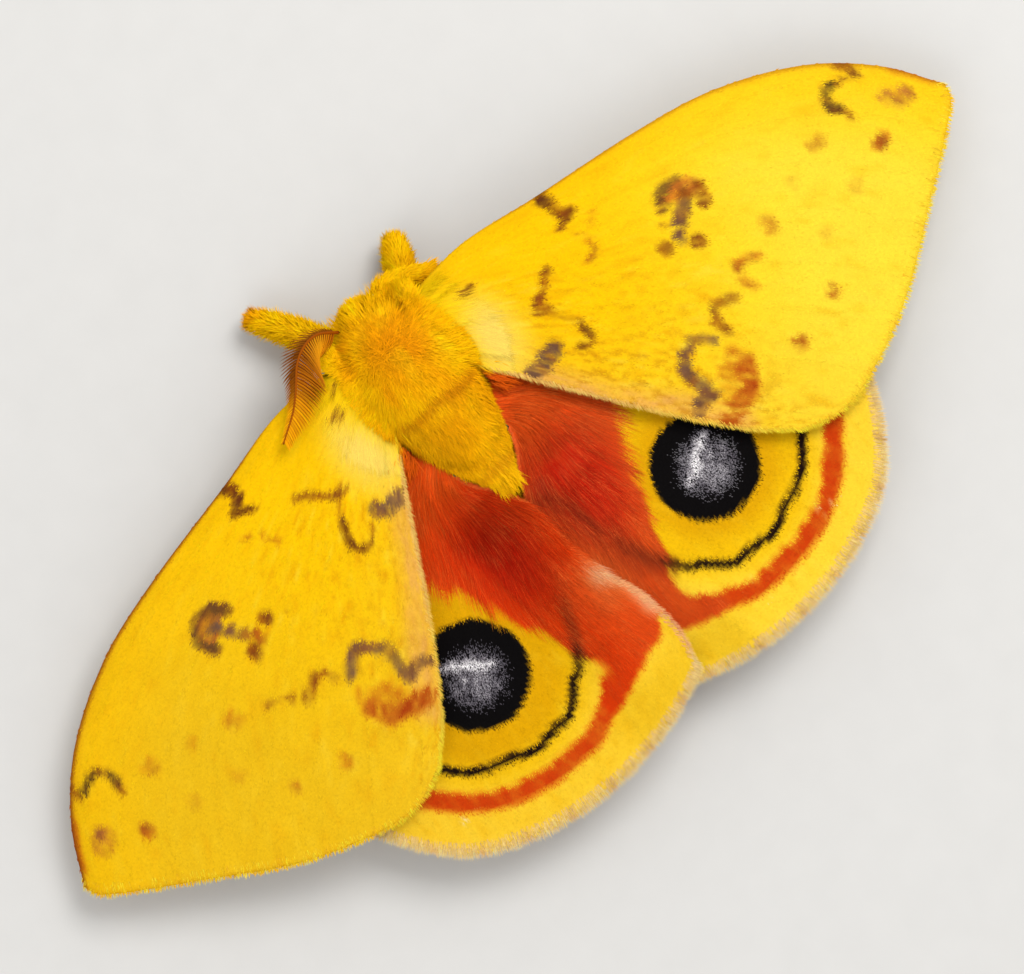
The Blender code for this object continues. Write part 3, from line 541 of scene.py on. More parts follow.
# The deep gold round the eyespot is partly the wing's own gold and partly painted shade where the wing curves
# down. It reaches further on the left wing.
GOLD_RING_AND_SHADE = {LEFT: (4.5, 6.4), RIGHT: (3.6, 5.2)}  # where the gold round the eyespot fades and ends
WORN_PLACES = {LEFT: ((15.5, 20.2),), RIGHT: ((13.3, 21.2), (6.6, 22.4))}
EYE_SPOT, EYE_RIM, PUPIL = (9.35, 14.6), 3.36, (9.4, 14.7)
PUPIL_STREAK = {
    LEFT: ((10.6, 13.0), (9.9, 13.3), (9.5, 13.7), (8.8, 14.3), (8.1, 14.7)),
    RIGHT: ((10.5, 13.2), (10.0, 13.4), (9.4, 13.7), (8.9, 14.3), (7.9, 14.7)),
}
BLACK_ARC = smooth_stroke(
    (
        (15.1, 16.9), (14.7, 17.4), (14, 18.25), (13.3, 18.85), (12.6, 19.25), (11.9, 19.5), (11.1, 19.75),
        (10.3, 20.1), (9.5, 20.4), (8.7, 20.3), (7.9, 20.2), (7.1, 20.25), (6.4, 19.95), (5.7, 19.35),
        (5.1, 18.75), (4.5, 18.5), (4.1, 17.9), (3.7, 17.1),
    ),
    70,
)
DUSK_LINE = smooth_stroke(((4.0, 17.8), (3.7, 17.1), (3.2, 16.3), (2.9, 15.4), (2.5, 14.4), (1.9, 13.4)), 16)
RED_ARC = smooth_stroke(
    (
        (17.3, 17.2), (16.8, 17.9), (16, 18.8), (15.1, 19.8), (14.2, 20.6), (13.3, 21.1), (12.2, 21.65),
        (10.7, 22), (9.5, 22.15), (8.4, 22.2), (7.3, 22.2), (6.3, 22.05), (5.4, 21.7), (4.5, 21.25),
        (3.8, 20.9),
    ),
    60,
)
RED_EDGE = smooth_stroke(
    (
        (8.9, 1.0), (8.2, 5.5), (7.5, 8.2), (6.95, 9.6), (6.3, 11.1), (5.8, 12.4), (5.1, 14.2), (4.5, 15.6),
        (4.3, 16.6), (4.15, 17.5), (3.6, 18.2), (3.4, 18.9), (3.5, 19.8), (4.2, 20.4), (5.0, 20.9),
    ),
    120,
)
RED_END = np.array(
    ((-2.4, 18.3), (-1.4, 19.3), (-0.8, 20.0), (0.4, 20.5), (1.8, 21.0), (3.1, 21.6), (4.2, 22.0))
)


def red_area(x, y, side):
    """1 in the red inner part of the hindwing."""
    edge = np.interp(y, RED_EDGE[:, 1], RED_EDGE[:, 0]) - 0.3 * (side == RIGHT) * ease(9, 12, y)
    end = np.interp(x, RED_END[:, 0], RED_END[:, 1])
    return (1 - ease(-0.25, 0.25, x - edge)) * (1 - ease(-0.25, 0.25, y - end))


# %% Hindwing colours
def hindwing_reds(side, x, y, own):
    reds = plain(RED_BASE[side], len(x))
    reds = lay(reds, 0.9 * spot(x, y, (3.1, 9.6), 2.0, 1.7, 1.7), (180, 20, 0))
    reds = lay(reds, 0.8 * (1 - ease(3.5, 7.5, y)), (226, 76, 10))
    pink = (1 - ease(0.2, 2.6, x)) * ease(12, 15, y) * (1 - 0.6 * ease(16, 18, y))
    reds = lay(reds, 0.7 * pink, (232, 108, 48))
    if side == RIGHT:
        # painted shadow of the left hindwing, which overlaps the right one: a dark band along its inner edge
        left_wing_shadow = stroke(x, y, ((1.2, 8.6), (1.6, 11.0), (2.2, 13.5), (2.7, 16.2), (3.4, 17.0)), 0.7, 0.6)
        reds = lay(reds, left_wing_shadow * (0.45 + 0.4 * CLOUD_A.at(own * (1.0, 0.3), 0.4)), (116, 34, 12))
    return lay(reds, 0.3 * ease(0.0, 1.0, CLOUD_C.at(own * (1.0, 0.3), 0.6)), (228, 96, 30))


def hindwing_colours(sheet, across, out):
    x, y = sheet.flat(across, out)
    own = np.stack([x, y], -1) + 40 + 60 * (sheet.side < 0)
    streaks = streaky(sheet, across, out)
    outward = unit(np.stack([x - 2.0, y - 1.0], -1))
    drift = 0.16 * streaks + 0.08 * CLOUD_B.at(own, 0.8)
    wx, wy = x + drift * outward[:, 0], y + drift * outward[:, 1]
    far = away(x, y, EYE_SPOT)
    colours = plain(BORDER_YELLOW[sheet.side], len(x))
    # gold that deepens towards the eyespot: partly the wing's own colour, partly painted shade of the wing's
    # curve
    colours = lay(colours, 1 - ease(5.4, 7.8, far), (240, 188, 6))
    colours = lay(colours, 0.9 * (1 - ease(*GOLD_RING_AND_SHADE[sheet.side], far)), (224, 164, 0))
    colours = lay(colours, 0.6 * ease(20.8, 22.5, y) * (1 - ease(3.5, 6.5, x)), (236, 188, 24))
    colours = lay(colours, 0.3 * ease(0.0, 0.8, streaks), (222, 160, 0))
    colours = lay(colours, 0.2 * ease(0.0, 0.8, -streaks), (255, 224, 76))
    colours = lay(colours, stroke(wx, wy, RED_ARC, 0.58, 0.24) * (0.95 + 0.4 * streaks), (204, 62, 6))
    red = red_area(wx + 0.5 * CLOUD_B.at(own * (1.0, 0.25), 0.5), wy, sheet.side)
    colours = blend(colours, hindwing_reds(sheet.side, x, y, own), red[..., None])
    colours = lay(colours, stroke(wx, wy, DUSK_LINE, 0.28, 0.34) * ease(12.5, 16.0, y) * 0.7, (108, 34, 10))
    arc = stroke(0.5 * (x + wx), 0.5 * (y + wy), BLACK_ARC, 0.26, 0.12)
    colours = lay(colours, arc * (0.55 + 0.45 * ease(3.8, 5.2, x)), (24, 10, 6))
    for worn in WORN_PLACES[sheet.side]:
        specks = spot(x, y, worn, 0.8, 0.5) * ease(0.45, 0.7, CLOUD_B.at(own, 0.16))
        colours = lay(colours, specks, (250, 226, 160))
    # a pale pink band along the inner edge: partly pale hair, partly a painted highlight where the edge curls
    # over
    inner = stroke(x, y, ((-0.2, 14.5), (-1.0, 15.3), (-1.4, 16.0), (-1.5, 17.0), (-1.5, 18.4)), 0.7, 0.6)
    colours = lay(colours, inner * 0.8, (250, 192, 150))
    colours = lay(colours, ease(0.94, 0.98, out) * 0.5, (255, 214, 96))
    ball = 1 - ease(EYE_RIM - 0.1, EYE_RIM + 0.1, away(wx, wy, EYE_SPOT))
    colours = lay(colours, ball, (7, 5, 6))
    shine = (1 - ease(0.7, 2.2, away(x, y, PUPIL))) * (0.7 + 0.4 * CLOUD_C.at(own, 0.3))
    return lay(colours, shine * 0.4, (120, 112, 128))


def hindwing_under_colours(sheet, across, out):
    x, y = sheet.flat(across, out)
    own = np.stack([x, y], -1) + 77
    colours = plain((232, 172, 56), len(x))
    colours = lay(colours, (0.5 + 0.4 * CLOUD_A.at(own, 2.6)) * (1 - ease(2, 14, x)), (214, 116, 68))
    band = stroke(x, y, ((17.5, 12), (14, 18), (8, 20.6), (3, 20)), 0.24)
    colours = lay(colours, band * 0.55, (140, 70, 50))
    colours = lay(colours, spot(x, y, (9.4, 13.0), 0.45, 0.15), (240, 234, 226))
    colours = lay(colours, ease(0.945, 0.97, out), (238, 206, 140))
    return colours


# %% [markdown]
# ## Making meshes from arrays
# A grid primitive can become a wing or a tube: each of its corners has two shares, and a
# function says where that pair of shares lies. Scales and hairs are too many for that, so they
# are written straight into one mesh. Each corner carries its colour in an attribute called
# Tint, and each hair has one small patch in a map called OFBake, at its root's place.

# %% Mesh helpers
ROOT_BODY = "root"


def bake_place(u, v):
    """Places on the bake map, kept a little inside its border."""
    return np.stack([u, v], -1) * 0.98 + 0.01


def select_only(*objects):
    bpy.ops.object.select_all(action="DESELECT")
    for item in objects:
        item.select_set(True)
    bpy.context.view_layer.objects.active = objects[0]


def tint(mesh, colours):
    layer = mesh.color_attributes.new("Tint", "FLOAT_COLOR", "POINT")
    light = np.ones((len(mesh.vertices), 4))
    light[:, :3] = light_of(colours)
    layer.data.foreach_set("color", light.ravel())


def from_grid(name, lengthwise, crosswise, where):
    """A grid primitive whose corners are moved to where(share lengthwise, share crosswise) says."""
    bpy.ops.object.select_all(action="DESELECT")
    bpy.ops.mesh.primitive_grid_add(x_subdivisions=lengthwise, y_subdivisions=crosswise, size=2)
    made = bpy.context.active_object
    made.name = made.data.name = name
    corners = np.empty(len(made.data.vertices) * 3)
    made.data.vertices.foreach_get("co", corners)
    shares = np.clip((corners.reshape(-1, 3)[:, :2] + 1) / 2, 0, 1)
    made.data.vertices.foreach_set("co", in_frame(where(shares[:, 0], shares[:, 1])).ravel())
    made.data.update()
    return made, shares


def from_arrays(name, points, faces, colours, bake, normals=None):
    """Points, triangles, one colour, one place on the bake map and one normal for each point."""
    mesh = bpy.data.meshes.new(name)
    mesh.vertices.add(len(points))
    mesh.vertices.foreach_set("co", in_frame(points).ravel())
    mesh.loops.add(faces.size)
    mesh.loops.foreach_set("vertex_index", faces.ravel())
    mesh.polygons.add(len(faces))
    mesh.polygons.foreach_set("loop_start", np.arange(0, faces.size, 3))
    mesh.update(calc_edges=True)
    tint(mesh, colours)
    layer = mesh.uv_layers.new(name="OFBake")
    layer.uv.foreach_set("vector", bake[faces.ravel()].ravel())
    if normals is not None:
        mesh.shade_smooth()
        mesh.normals_split_custom_set_from_vertices(unit(normals))
    made = bpy.data.objects.new(name, mesh)
    bpy.context.scene.collection.objects.link(made)
    print(name, len(faces), "triangles")
    return made


# %% [markdown]
# A scale is the smallest solid there is: a root, a tip and two corners at its sides, which sit
# a little lower, so that it has a ridge. Four triangles close it. A hair is a thin three-sided
# spike whose rings follow a bent path, and it ends in a point.

# %% Scales and hairs
SCALE_SINK, SCALE_RIDGE = 0.02, 0.16
BAKE_REACH = 0.0015


def scale_coat(name, roots, along, off, length, width, lift, colours, bake):
    """Flat pointed scales lying along a way, their tips lifted a little."""
    count = len(roots)
    side = unit(np.cross(off, along))
    length, width, lift = (np.broadcast_to(v, (count,))[:, None] for v in (length, width, lift))
    low = roots - off * SCALE_SINK
    tip = roots + along * length + off * lift
    waist = blend(low, tip, 0.45) - off * (width * SCALE_RIDGE)
    points = np.stack([low, tip, waist + side * width / 2, waist - side * width / 2], 1)
    start = np.arange(count)[:, None, None] * 4
    faces = start + np.array([[0, 1, 2], [0, 3, 1], [0, 2, 3], [1, 3, 2]])
    shade = np.array([0.96, 1.03, 1.0, 1.0])[None, :, None]
    patch = np.array([[0, -1], [0, 1], [-1, 0], [1, 0]]) * BAKE_REACH
    lean = off + 0.07 * np.random.default_rng(count).standard_normal(off.shape)
    normals = np.stack([lean, lean, lean + 0.22 * side, lean - 0.22 * side], 1)
    return from_arrays(
        name,
        points.reshape(-1, 3),
        faces.reshape(-1, 3),
        np.clip(colours[:, None, :] * shade, 0, 255).reshape(-1, 3),
        np.clip(bake[:, None, :] + patch, 0, 1).reshape(-1, 2),
        normals.reshape(-1, 3),
    )


def hair_paths(roots, ways, ups, length, bow, swing, rings):
    """Bent paths: bow lifts the middle off the skin, swing is a sideways bend."""
    count = len(roots)
    length = np.broadcast_to(length, (count,))[:, None, None]
    u = np.linspace(0, 1, rings + 1)[None, :, None]
    side = unit(np.cross(ups, ways))[:, None, :]
    bow = np.broadcast_to(bow, (count,))[:, None, None]
    swing = np.broadcast_to(swing, (count,))[:, None, None]
    return (
        roots[:, None, :]
        + ways[:, None, :] * length * u
        + ups[:, None, :] * length * bow * (2.2 * u - 1.7 * u * u)
        + side * length * swing * u * u
    )


HAIR_DEPTH = 0.6


def hair_coat(name, paths, ups, width, colours, bake, tips=1.12):
    """Thin three-sided spikes along paths of points, thickest near the root."""
    count, stations = paths.shape[:2]
    rings = stations - 1
    width = np.broadcast_to(width, (count,))[:, None, None]
    along = unit(paths[:, 1:] - paths[:, :-1])
    side = unit(np.cross(np.broadcast_to(ups[:, None, :], along.shape), along))
    up = np.cross(along, side)
    taper = np.interp(np.arange(rings) / rings, [0, 0.35, 1], [0.8, 1.0, 0.25])[None, :, None]
    middles = paths[:, :-1]
    a = middles + side * width * taper / 2
    b = middles + up * width * taper * HAIR_DEPTH
    c = middles - side * width * taper / 2
    points = np.concatenate([np.stack([a, b, c], 2).reshape(count, -1, 3), paths[:, -1:]], 1)
    faces = []
    for ring in range(rings - 1):
        for k in range(3):
            p, q = ring * 3 + k, ring * 3 + (k + 1) % 3
            faces += [(p, q, q + 3), (p, q + 3, p + 3)]
    last = (rings - 1) * 3
    faces += [(last + k, last + (k + 1) % 3, rings * 3) for k in range(3)]
    faces += [(0, 2, 1)]
    faces = np.arange(count)[:, None, None] * (rings * 3 + 1) + np.array(faces)
    shade = np.concatenate([np.repeat(np.linspace(0.9, 1.0, rings), 3), [tips]])[None, :, None]
    tall = np.concatenate([np.repeat(np.linspace(-1, 0.6, rings), 3), [1.0]]) * BAKE_REACH
    wide = np.concatenate([np.tile([-1, 0, 1], rings), [0]]) * BAKE_REACH
    lean = 0.25 * up + 0.75 * ups[:, None, :]
    normals = np.stack([lean + 0.3 * side, lean, lean - 0.3 * side], 2).reshape(count, -1, 3)
    normals = np.concatenate([normals, lean[:, -1:]], 1)
    return from_arrays(
        name,
        points.reshape(-1, 3),
        faces.reshape(-1, 3),
        np.clip(colours[:, None, :] * shade, 0, 255).reshape(-1, 3),
        np.clip(bake[:, None, :] + np.stack([wide, tall], -1), 0, 1).reshape(-1, 2),
        normals.reshape(-1, 3),
    )


def varied(colours, rng, strength=0.07):
    """Each hair a little lighter or darker than its neighbours."""
    return np.clip(colours * (1 + strength * rng.standard_normal((len(colours), 1))), 0, 255)


PIECES = []  # object, slot, finish, nodes that it stands for


def keep(made, slot, finish, *nodes):
    PIECES.append((made, slot, finish, nodes))


# %% [markdown]
# ## Wing sheets
# The sheet under the scales is a grid of small squares, fine enough to show its markings in
# the gaps between the scales. Solidify gives it its thickness, and the veins stand up in it.

# %% Wing sheets
def wing_sheet(name, lengthwise, crosswise, colouring):
    sheet = SHEETS[name]
    low, high, rim = sheet.inset

    def shares_of(u, v):
        return blend(low, high, v), rim * u

    made, shares = from_grid(
        name + "_sheet", lengthwise, crosswise, lambda u, v: sheet.at(*shares_of(u, v))
    )
    tint(made.data, colouring(sheet, *shares_of(shares[:, 0], shares[:, 1])))
    select_only(made)
    if sheet.side == RIGHT:
        bpy.ops.object.mode_set(mode="EDIT")
        bpy.ops.mesh.select_all(action="SELECT")
        bpy.ops.mesh.flip_normals()
        bpy.ops.object.mode_set(mode="OBJECT")
    made.data.uv_layers.remove(made.data.uv_layers[0])
    bpy.ops.object.modifier_add(type="SOLIDIFY")
    made.modifiers[-1].thickness = SHEET_THICK * MM
    made.modifiers[-1].offset = -1
    bpy.ops.object.modifier_apply(modifier=made.modifiers[-1].name)
    bpy.ops.object.shade_smooth()
    up = np.mean([p.normal.z for p in made.data.polygons[: lengthwise * crosswise]])
    print(name, len(made.data.polygons), "faces, first ones look", "up" if up > 0 else "down")
    return made


WING_SLOTS = {"forewing": "wing_yellow", "hindwing": "hindwing_red"}
SHEET_ROWS = (  # wing, squares lengthwise, squares crosswise, colours
    ("forewing", 124, 72, forewing_colours),
    ("hindwing", 96, 96, hindwing_colours),
)
for side_name in SIDE_NAMES.values():
    for wing, *row in SHEET_ROWS:
        name = wing + "_" + side_name
        keep(wing_sheet(name, *row), WING_SLOTS[wing], wing + " sheet", name)


# %% [markdown]
# ## Wing scales
# Scales start at random places, spread evenly by area, and point out along the wing. They
# overlap like roof tiles. Under the wing there are fewer, since it is hardly seen, and the
# inner part of the hindwing has few too, because long hair covers it.

# %% Scale the wings
def wing_scales(name, seed, count, length, width, colouring, face, lift, edge):
    sheet = SHEETS[name]
    rng = np.random.default_rng(seed)
    low, high, rim = sheet.inset
    across, out = sheet.scatter(count, rng, (low + edge, 0.02), (high - edge, rim - edge))
    if face > 0 and name.startswith("hind"):
        shown = red_area(*sheet.flat(across, out), sheet.side) < rng.uniform(0.3, 1.6, len(out))
        across, out = across[shown], out[shown]
    roots = sheet.at(across, out, face)
    outward, sideways, off = sheet.ways(across, out, face)
    swirl = 0.16 * CLOUD_B.at(roots, 1.4)[:, None] + 0.14 * rng.standard_normal((len(out), 1))
    beside = np.clip(across + rng.normal(0, 0.003, len(out)), 0, 1)
    return scale_coat(
        name + ("_scales" if face > 0 else "_under_scales"),
        roots,
        unit(outward + sideways * swirl),
        off,
        length * rng.uniform(0.75, 1.25, len(out)),
        width * rng.uniform(0.8, 1.2, len(out)),
        lift * rng.uniform(0.4, 1.6, len(out)),
        varied(colouring(sheet, beside, out), rng, 0.03),
        bake_place(across, out),
    )


SCALE_ROWS = (  # wing, seed, count, length, width, colours, face, lift, clear edge
    ("forewing", 10, 36000, 0.3, 0.084, forewing_colours, 1, 0.018, 0.0),
    ("hindwing", 20, 32000, 0.28, 0.078, hindwing_colours, 1, 0.018, 0.0),
    ("forewing", 30, 5600, 0.5, 0.26, forewing_under_colours, -1, 0.015, 0.03),
    ("hindwing", 40, 4600, 0.5, 0.26, hindwing_under_colours, -1, 0.015, 0.03),
)
for number, side_name in enumerate(SIDE_NAMES.values()):
    for wing, seed, *row in SCALE_ROWS:
        made = wing_scales(wing + "_" + side_name, seed + number, *row)
        keep(made, WING_SLOTS[wing], wing + " scales")


# %% [markdown]
# The pupil of each eyespot glitters like frost, because tiny silver scales are strewn over the
# black ones. They are brightest along one streak and thin out towards the black ring.

# %% Silver dust of the eyespots
def pupil_dust(name, seed, count):
    sheet = SHEETS[name]
    rng = np.random.default_rng(seed)
    across, out = (grid.ravel() for grid in np.meshgrid(np.linspace(0, 1, 90), np.linspace(0, 1, 90)))
    x, y = sheet.flat(across, out)
    near = away(x, y, PUPIL) < 2.6
    low, high = (across[near].min(), out[near].min()), (across[near].max(), out[near].max())
    across, out = sheet.scatter(count, rng, low, high)
    x, y = sheet.flat(across, out)
    streak = stroke(x, y, PUPIL_STREAK[sheet.side], 0.2, 0.45)
    streak = np.maximum(streak, spot(x, y, PUPIL_STREAK[sheet.side][1], 0.3, 0.5))
    thick = (1 - ease(0.7, 2.5, away(x, y, PUPIL))) * (0.75 + 0.5 * CLOUD_A.at(np.stack([x, y], -1), 0.4))
    shown = rng.random(len(x)) < np.maximum(thick * 0.95, streak * 1.2)
    across, out, streak, thick = across[shown], out[shown], streak[shown], thick[shown]
    roots = sheet.at(across, out, 1, 0.03)
    outward, sideways, off = sheet.ways(across, out)
    bright = np.clip(rng.uniform(0.1, 0.8, len(out)) * thick + streak * rng.uniform(0.3, 1.0, len(out)), 0, 1)
    colours = blend(np.array([34.0, 28.0, 40.0]), np.array([255.0, 252.0, 255.0]), bright[:, None])
    along = unit(outward + sideways * 0.2 * rng.standard_normal((len(out), 1)))
    size = rng.uniform(0.7, 1.3, len(out))
    bake = bake_place(across, out)
    return scale_coat(name + "_pupil_dust", roots, along, off, 0.12 * size, 0.055, 0.02, colours, bake)


for number, side_name in enumerate(SIDE_NAMES.values()):
    keep(pupil_dust("hindwing_" + side_name, 46 + number, 13000), "hindwing_red", "silver dust")


# %% [markdown]
# ## Fringes and long wing hair
# The rim of each wing ends in a fringe: short and yellow on the forewing, longer and tan on
# the hindwing, with nicks where the veins end. The inner half of the hindwing is not scaled but
# combed with long red hair, which runs from the root to the rim and breaks the mark's edges.

# %% Fringe
def fringe(name, seed, rim_density, back_density, reach, back_reach, width, colour, dark, inner):
    """Hair nearly square to the rim, and hair along the inner edge that leans out along it."""
    sheet = SHEETS[name]
    rng = np.random.default_rng(seed)
    low, high, rim = sheet.inset
    rim_count = int(sheet.wing.rim.length * rim_density)
    back_count = int(sheet.wing.back.length * back_density)
    on_rim = np.arange(rim_count + back_count) < rim_count
    count = len(on_rim)
    across = np.where(on_rim, rng.uniform(low, high, count), high - rng.uniform(0, 0.015, count))
    out = np.where(on_rim, rim - rng.uniform(0, 0.02, count), rng.uniform(0.1, rim, count))
    roots = sheet.at(across, out, 1, -SHEET_THICK * rng.uniform(-0.1, 0.8, count))
    outward, sideways, off = sheet.ways(across, out)
    away_from = np.where(on_rim[:, None], outward, sideways)
    square = np.cross(off, np.where(on_rim[:, None], sideways, outward))
    square = unit(square * np.sign(np.sum(square * away_from, -1, keepdims=True)))
    lean = np.where(on_rim[:, None], 0.2, 1.1)
    ways = unit(square + lean * outward + 0.08 * rng.standard_normal(square.shape))
    nicks = np.zeros(count)
    for _, edge, _ in sheet.wing.veins:
        nicks = np.maximum(nicks, np.exp(-(((across - edge) * sheet.wing.rim.length / 0.25) ** 2)) * on_rim)
    clumps = 0.05 * CLOUD_C.at(roots, 0.6)
    length = np.where(on_rim, reach, back_reach) * (rng.uniform(0.7, 1.05, count) + clumps - 0.1 * nicks)
    colours = lay(plain(colour, count), nicks * 0.5, dark)
    for start, end, shown in inner:
        colours = lay(colours, (1 - ease(start, end, out)) * ~on_rim, shown)
    colours = varied(colours, rng, 0.07)
    paths = hair_paths(roots, ways, off, length, rng.normal(0.03, 0.05, count), rng.normal(0, 0.08, count), 1)
    bake = bake_place(across, out)
    return hair_coat(name + "_fringe", paths, off, width, colours, bake)


FRINGE_ROWS = (  # wing, seed, hairs per mm of rim, of inner edge, their reaches, width, colours
    ("forewing", 50, 90, 80, 0.42, 0.5, 0.055, (255, 208, 44), (228, 150, 30),
     ((0.8, 0.95, (250, 192, 70)), (0.45, 0.7, (246, 186, 96)))),
    # the hindwing's inner-edge hair is pale pink-tan in its middle part: partly pale hair, partly a painted
    # highlight where the edge curls over
    ("hindwing", 60, 250, 150, 0.74, 0.5, 0.045, (238, 196, 124), (198, 150, 84),
     ((0.85, 0.98, (240, 164, 110)), (0.5, 0.66, (226, 90, 34)))),
)
for number, side_name in enumerate(SIDE_NAMES.values()):
    for wing, seed, *row in FRINGE_ROWS:
        keep(fringe(wing + "_" + side_name, seed + number, *row), WING_SLOTS[wing], "fringe")


# %% Red hair of the hindwings
def red_hair(name, seed, count):
    sheet = SHEETS[name]
    rng = np.random.default_rng(seed)
    across, out = sheet.scatter(count, rng, (0.28, 0.03), (0.985, 0.95))
    x, y = sheet.flat(across, out)
    shown = red_area(x, y, sheet.side) > rng.uniform(0.0, 1.0, len(x))
    across, out, x, y = across[shown], out[shown], x[shown], y[shown]
    roots = sheet.at(across, out, 1, -0.02)
    outward, sideways, off = sheet.ways(across, out)
    swirl = 0.22 * CLOUD_C.at(roots, 2.4)[:, None] + 0.07 * rng.standard_normal((len(x), 1))
    ways = unit(outward + sideways * swirl)
    end = np.interp(x, RED_END[:, 0], RED_END[:, 1])
    length = np.minimum(blend(1.8, 0.9, ease(8, 19, y)), 0.35 + 0.6 * np.maximum(end - y, 0))
    length = length * rng.uniform(0.6, 1.15, len(x))
    bow, swing = rng.uniform(0.02, 0.07, len(x)), rng.normal(0, 0.09, len(x))
    paths = hair_paths(roots, ways, off, length, bow, swing, 1)
    colours = hindwing_colours(sheet, across, out)
    pale = 0.3 * (rng.random(len(x)) < 0.25) * (1 + 0.8 * CLOUD_A.at(roots, 1.2))
    colours = varied(lay(colours, pale, (250, 140, 70)), rng, 0.09)
    bake = bake_place(across, out)
    return hair_coat(name + "_hair", paths, off, 0.048 * rng.uniform(0.8, 1.3, len(x)), colours, bake, 1.06)


for number, side_name in enumerate(SIDE_NAMES.values()):
    keep(red_hair("hindwing_" + side_name, 70 + number, 62000), "hindwing_red", "long hair")


# %% [markdown]
# ## The body
# Thorax, head, abdomen and legs are each a smooth route with a width and a height along it.
# Their skin is modelled as separate closed tubes that run into each other. A voxel remesh then
# melts them into a single skin, and a few rounds of smoothing take the steps out.

# %% Routes of the body
class Body:
    """A round body along stations: x, y, z, half width, half height."""

    def __init__(self, stations):
        self.line = Line(stations)

    def frame(self, share):
        share = np.asarray(share, float)
        held = np.clip(share, 0, 1)
        values = self.line.point(held)
        step = self.line.point(np.minimum(held + 1e-3, 1)) - self.line.point(np.maximum(held - 1e-3, 0))
        ahead = unit(step[..., :3])
        across = unit(np.cross(ahead, np.array([0.0, 0.0, 1.0])))
        up = np.cross(across, ahead)
        middle = values[..., :3] + ahead * ((share - held) * self.line.length)[..., None]
        return middle, ahead, across, up, values[..., 3], values[..., 4]

    def point(self, share, angle, grow=0.0):
        middle, _, across, up, wide, high = self.frame(share)
        w = (wide + grow) * np.sin(angle)
        h = (high + grow) * np.cos(angle)
        return middle + across * w[..., None] + up * h[..., None]

    def off(self, share, angle):
        _, _, across, up, wide, high = self.frame(share)
        return unit(across * (np.sin(angle) / wide)[..., None] + up * (np.cos(angle) / high)[..., None])


NEAR_JOINT = 0.16


def limb(joints, radii):
    """A leg's route that hugs its joints: extra stations stand close to each joint."""
    ends = [np.array([*place, radius, radius]) for place, radius in zip(joints, radii)]
    stations = []
    for a, b in zip(ends, ends[1:]):
        stations += [a, blend(a, b, NEAR_JOINT), blend(a, b, 1 - NEAR_JOINT)]
    return Body([*stations, ends[-1]])


THORAX_COAT, ABDOMEN_COAT, HEAD_COAT = 0.3, 0.25, 0.2  # how deep the skin lies inside the solids
FOOT = 0.28 * math.cos(math.pi / 8)
THORAX = Body(
    (
        (0, -4.3, 4.95, 2.65, 2.5),
        (0, -3.2, 5.0, 3.2, 2.9),
        (0, -1.6, 5.0, 3.85, 3.2),
        (0, 0.2, 5.05, 3.7, 3.3),
        (0, 1.8, 5.05, 3.2, 3.1),
        (0, 3.2, 4.95, 2.75, 2.75),
        (0, 4.4, 4.85, 2.25, 2.35),
    )
)
ABDOMEN = Body(
    (
        (0, 4.7, 4.7, 1.85, 1.9),
        (0, 5.6, 4.6, 2.1, 2.1),
        (0, 7.2, 4.5, 2.35, 2.25),
        (0, 10, 4.3, 2.35, 2.2),
        (0, 13, 4.0, 2.1, 1.95),
        (0, 16, 3.6, 1.65, 1.55),
        (0, 18.3, 3.25, 1.05, 1.0),
        (0, 19.3, 3.1, 0.5, 0.5),
    )
)
HEAD = Body(
    (
        (0, -6.2, 4.2, 0.8, 0.9),
        (0, -5.85, 4.3, 1.35, 1.45),
        (0, -5.3, 4.4, 1.7, 1.75),
        (0, -4.6, 4.4, 1.85, 1.85),
    )
)
LEG_JOINTS = {  # hip, knee, ankle, heel and toe
    "foreleg_left": ((1.5, -3.2, 3.3), (1.9, -4.7, 1.9), (2.6, -6.3, 2.1), (4.3, -9.1, 0), (4.8, -9.9, 0)),
    "foreleg_right": (
        (-1.5, -3.2, 3.3), (-2.4, -4.6, 1.9), (-3.3, -5.5, 2.1), (-4.3, -7.4, 0), (-4.7, -8.1, 0),
    ),
    "midleg_left": ((1.9, -0.9, 3.1), (3.2, -1.2, 2.5), (5.0, -1.9, 3.9), (7.2, -2.7, 0), (9.3, -3.3, 0)),
    "midleg_right": (
        (-1.9, -0.9, 3.1), (-3.2, -1.1, 2.5), (-5.0, -1.6, 3.9), (-7.2, -2.3, 0), (-9.2, -2.7, 0),
    ),
    "hindleg_left": ((1.6, 1.9, 3.1), (2.7, 3.0, 2.4), (3.9, 5.4, 3.5), (5.8, 8.9, 0), (7.0, 11.4, 0)),
    "hindleg_right": ((-1.6, 1.9, 3.1), (-2.7, 3.0, 2.4), (-4.0, 5.3, 3.5), (-6.0, 8.7, 0), (-7.3, 11.1, 0)),
}
LEG_RADII = (0.46, 0.46, 0.36, 0.24, 0.2)
LEGS = {
    name: limb([(x, y, z + FOOT if z else FOOT - 0.05) for x, y, z in joints], LEG_RADII)
    for name, joints in LEG_JOINTS.items()
}
LOBES = {  # cores of the forelegs' brushes
    "foreleg_left": Body(
        (
            (2.0, -5.1, 2.2, 0.5, 0.5),
            (2.6, -6.4, 2.5, 0.62, 0.6),
            (3.5, -8.1, 2.2, 0.62, 0.58),
            (4.7, -10.05, 1.6, 0.42, 0.4),
        )
    ),
    "foreleg_right": Body(
        (
            (-2.6, -4.9, 2.2, 0.5, 0.5),
            (-3.3, -5.7, 2.5, 0.62, 0.6),
            (-4.0, -6.8, 2.3, 0.62, 0.58),
            (-4.55, -7.8, 1.8, 0.42, 0.4),
        )
    ),
}
print("routes:", 3 + len(LEGS) + len(LOBES))


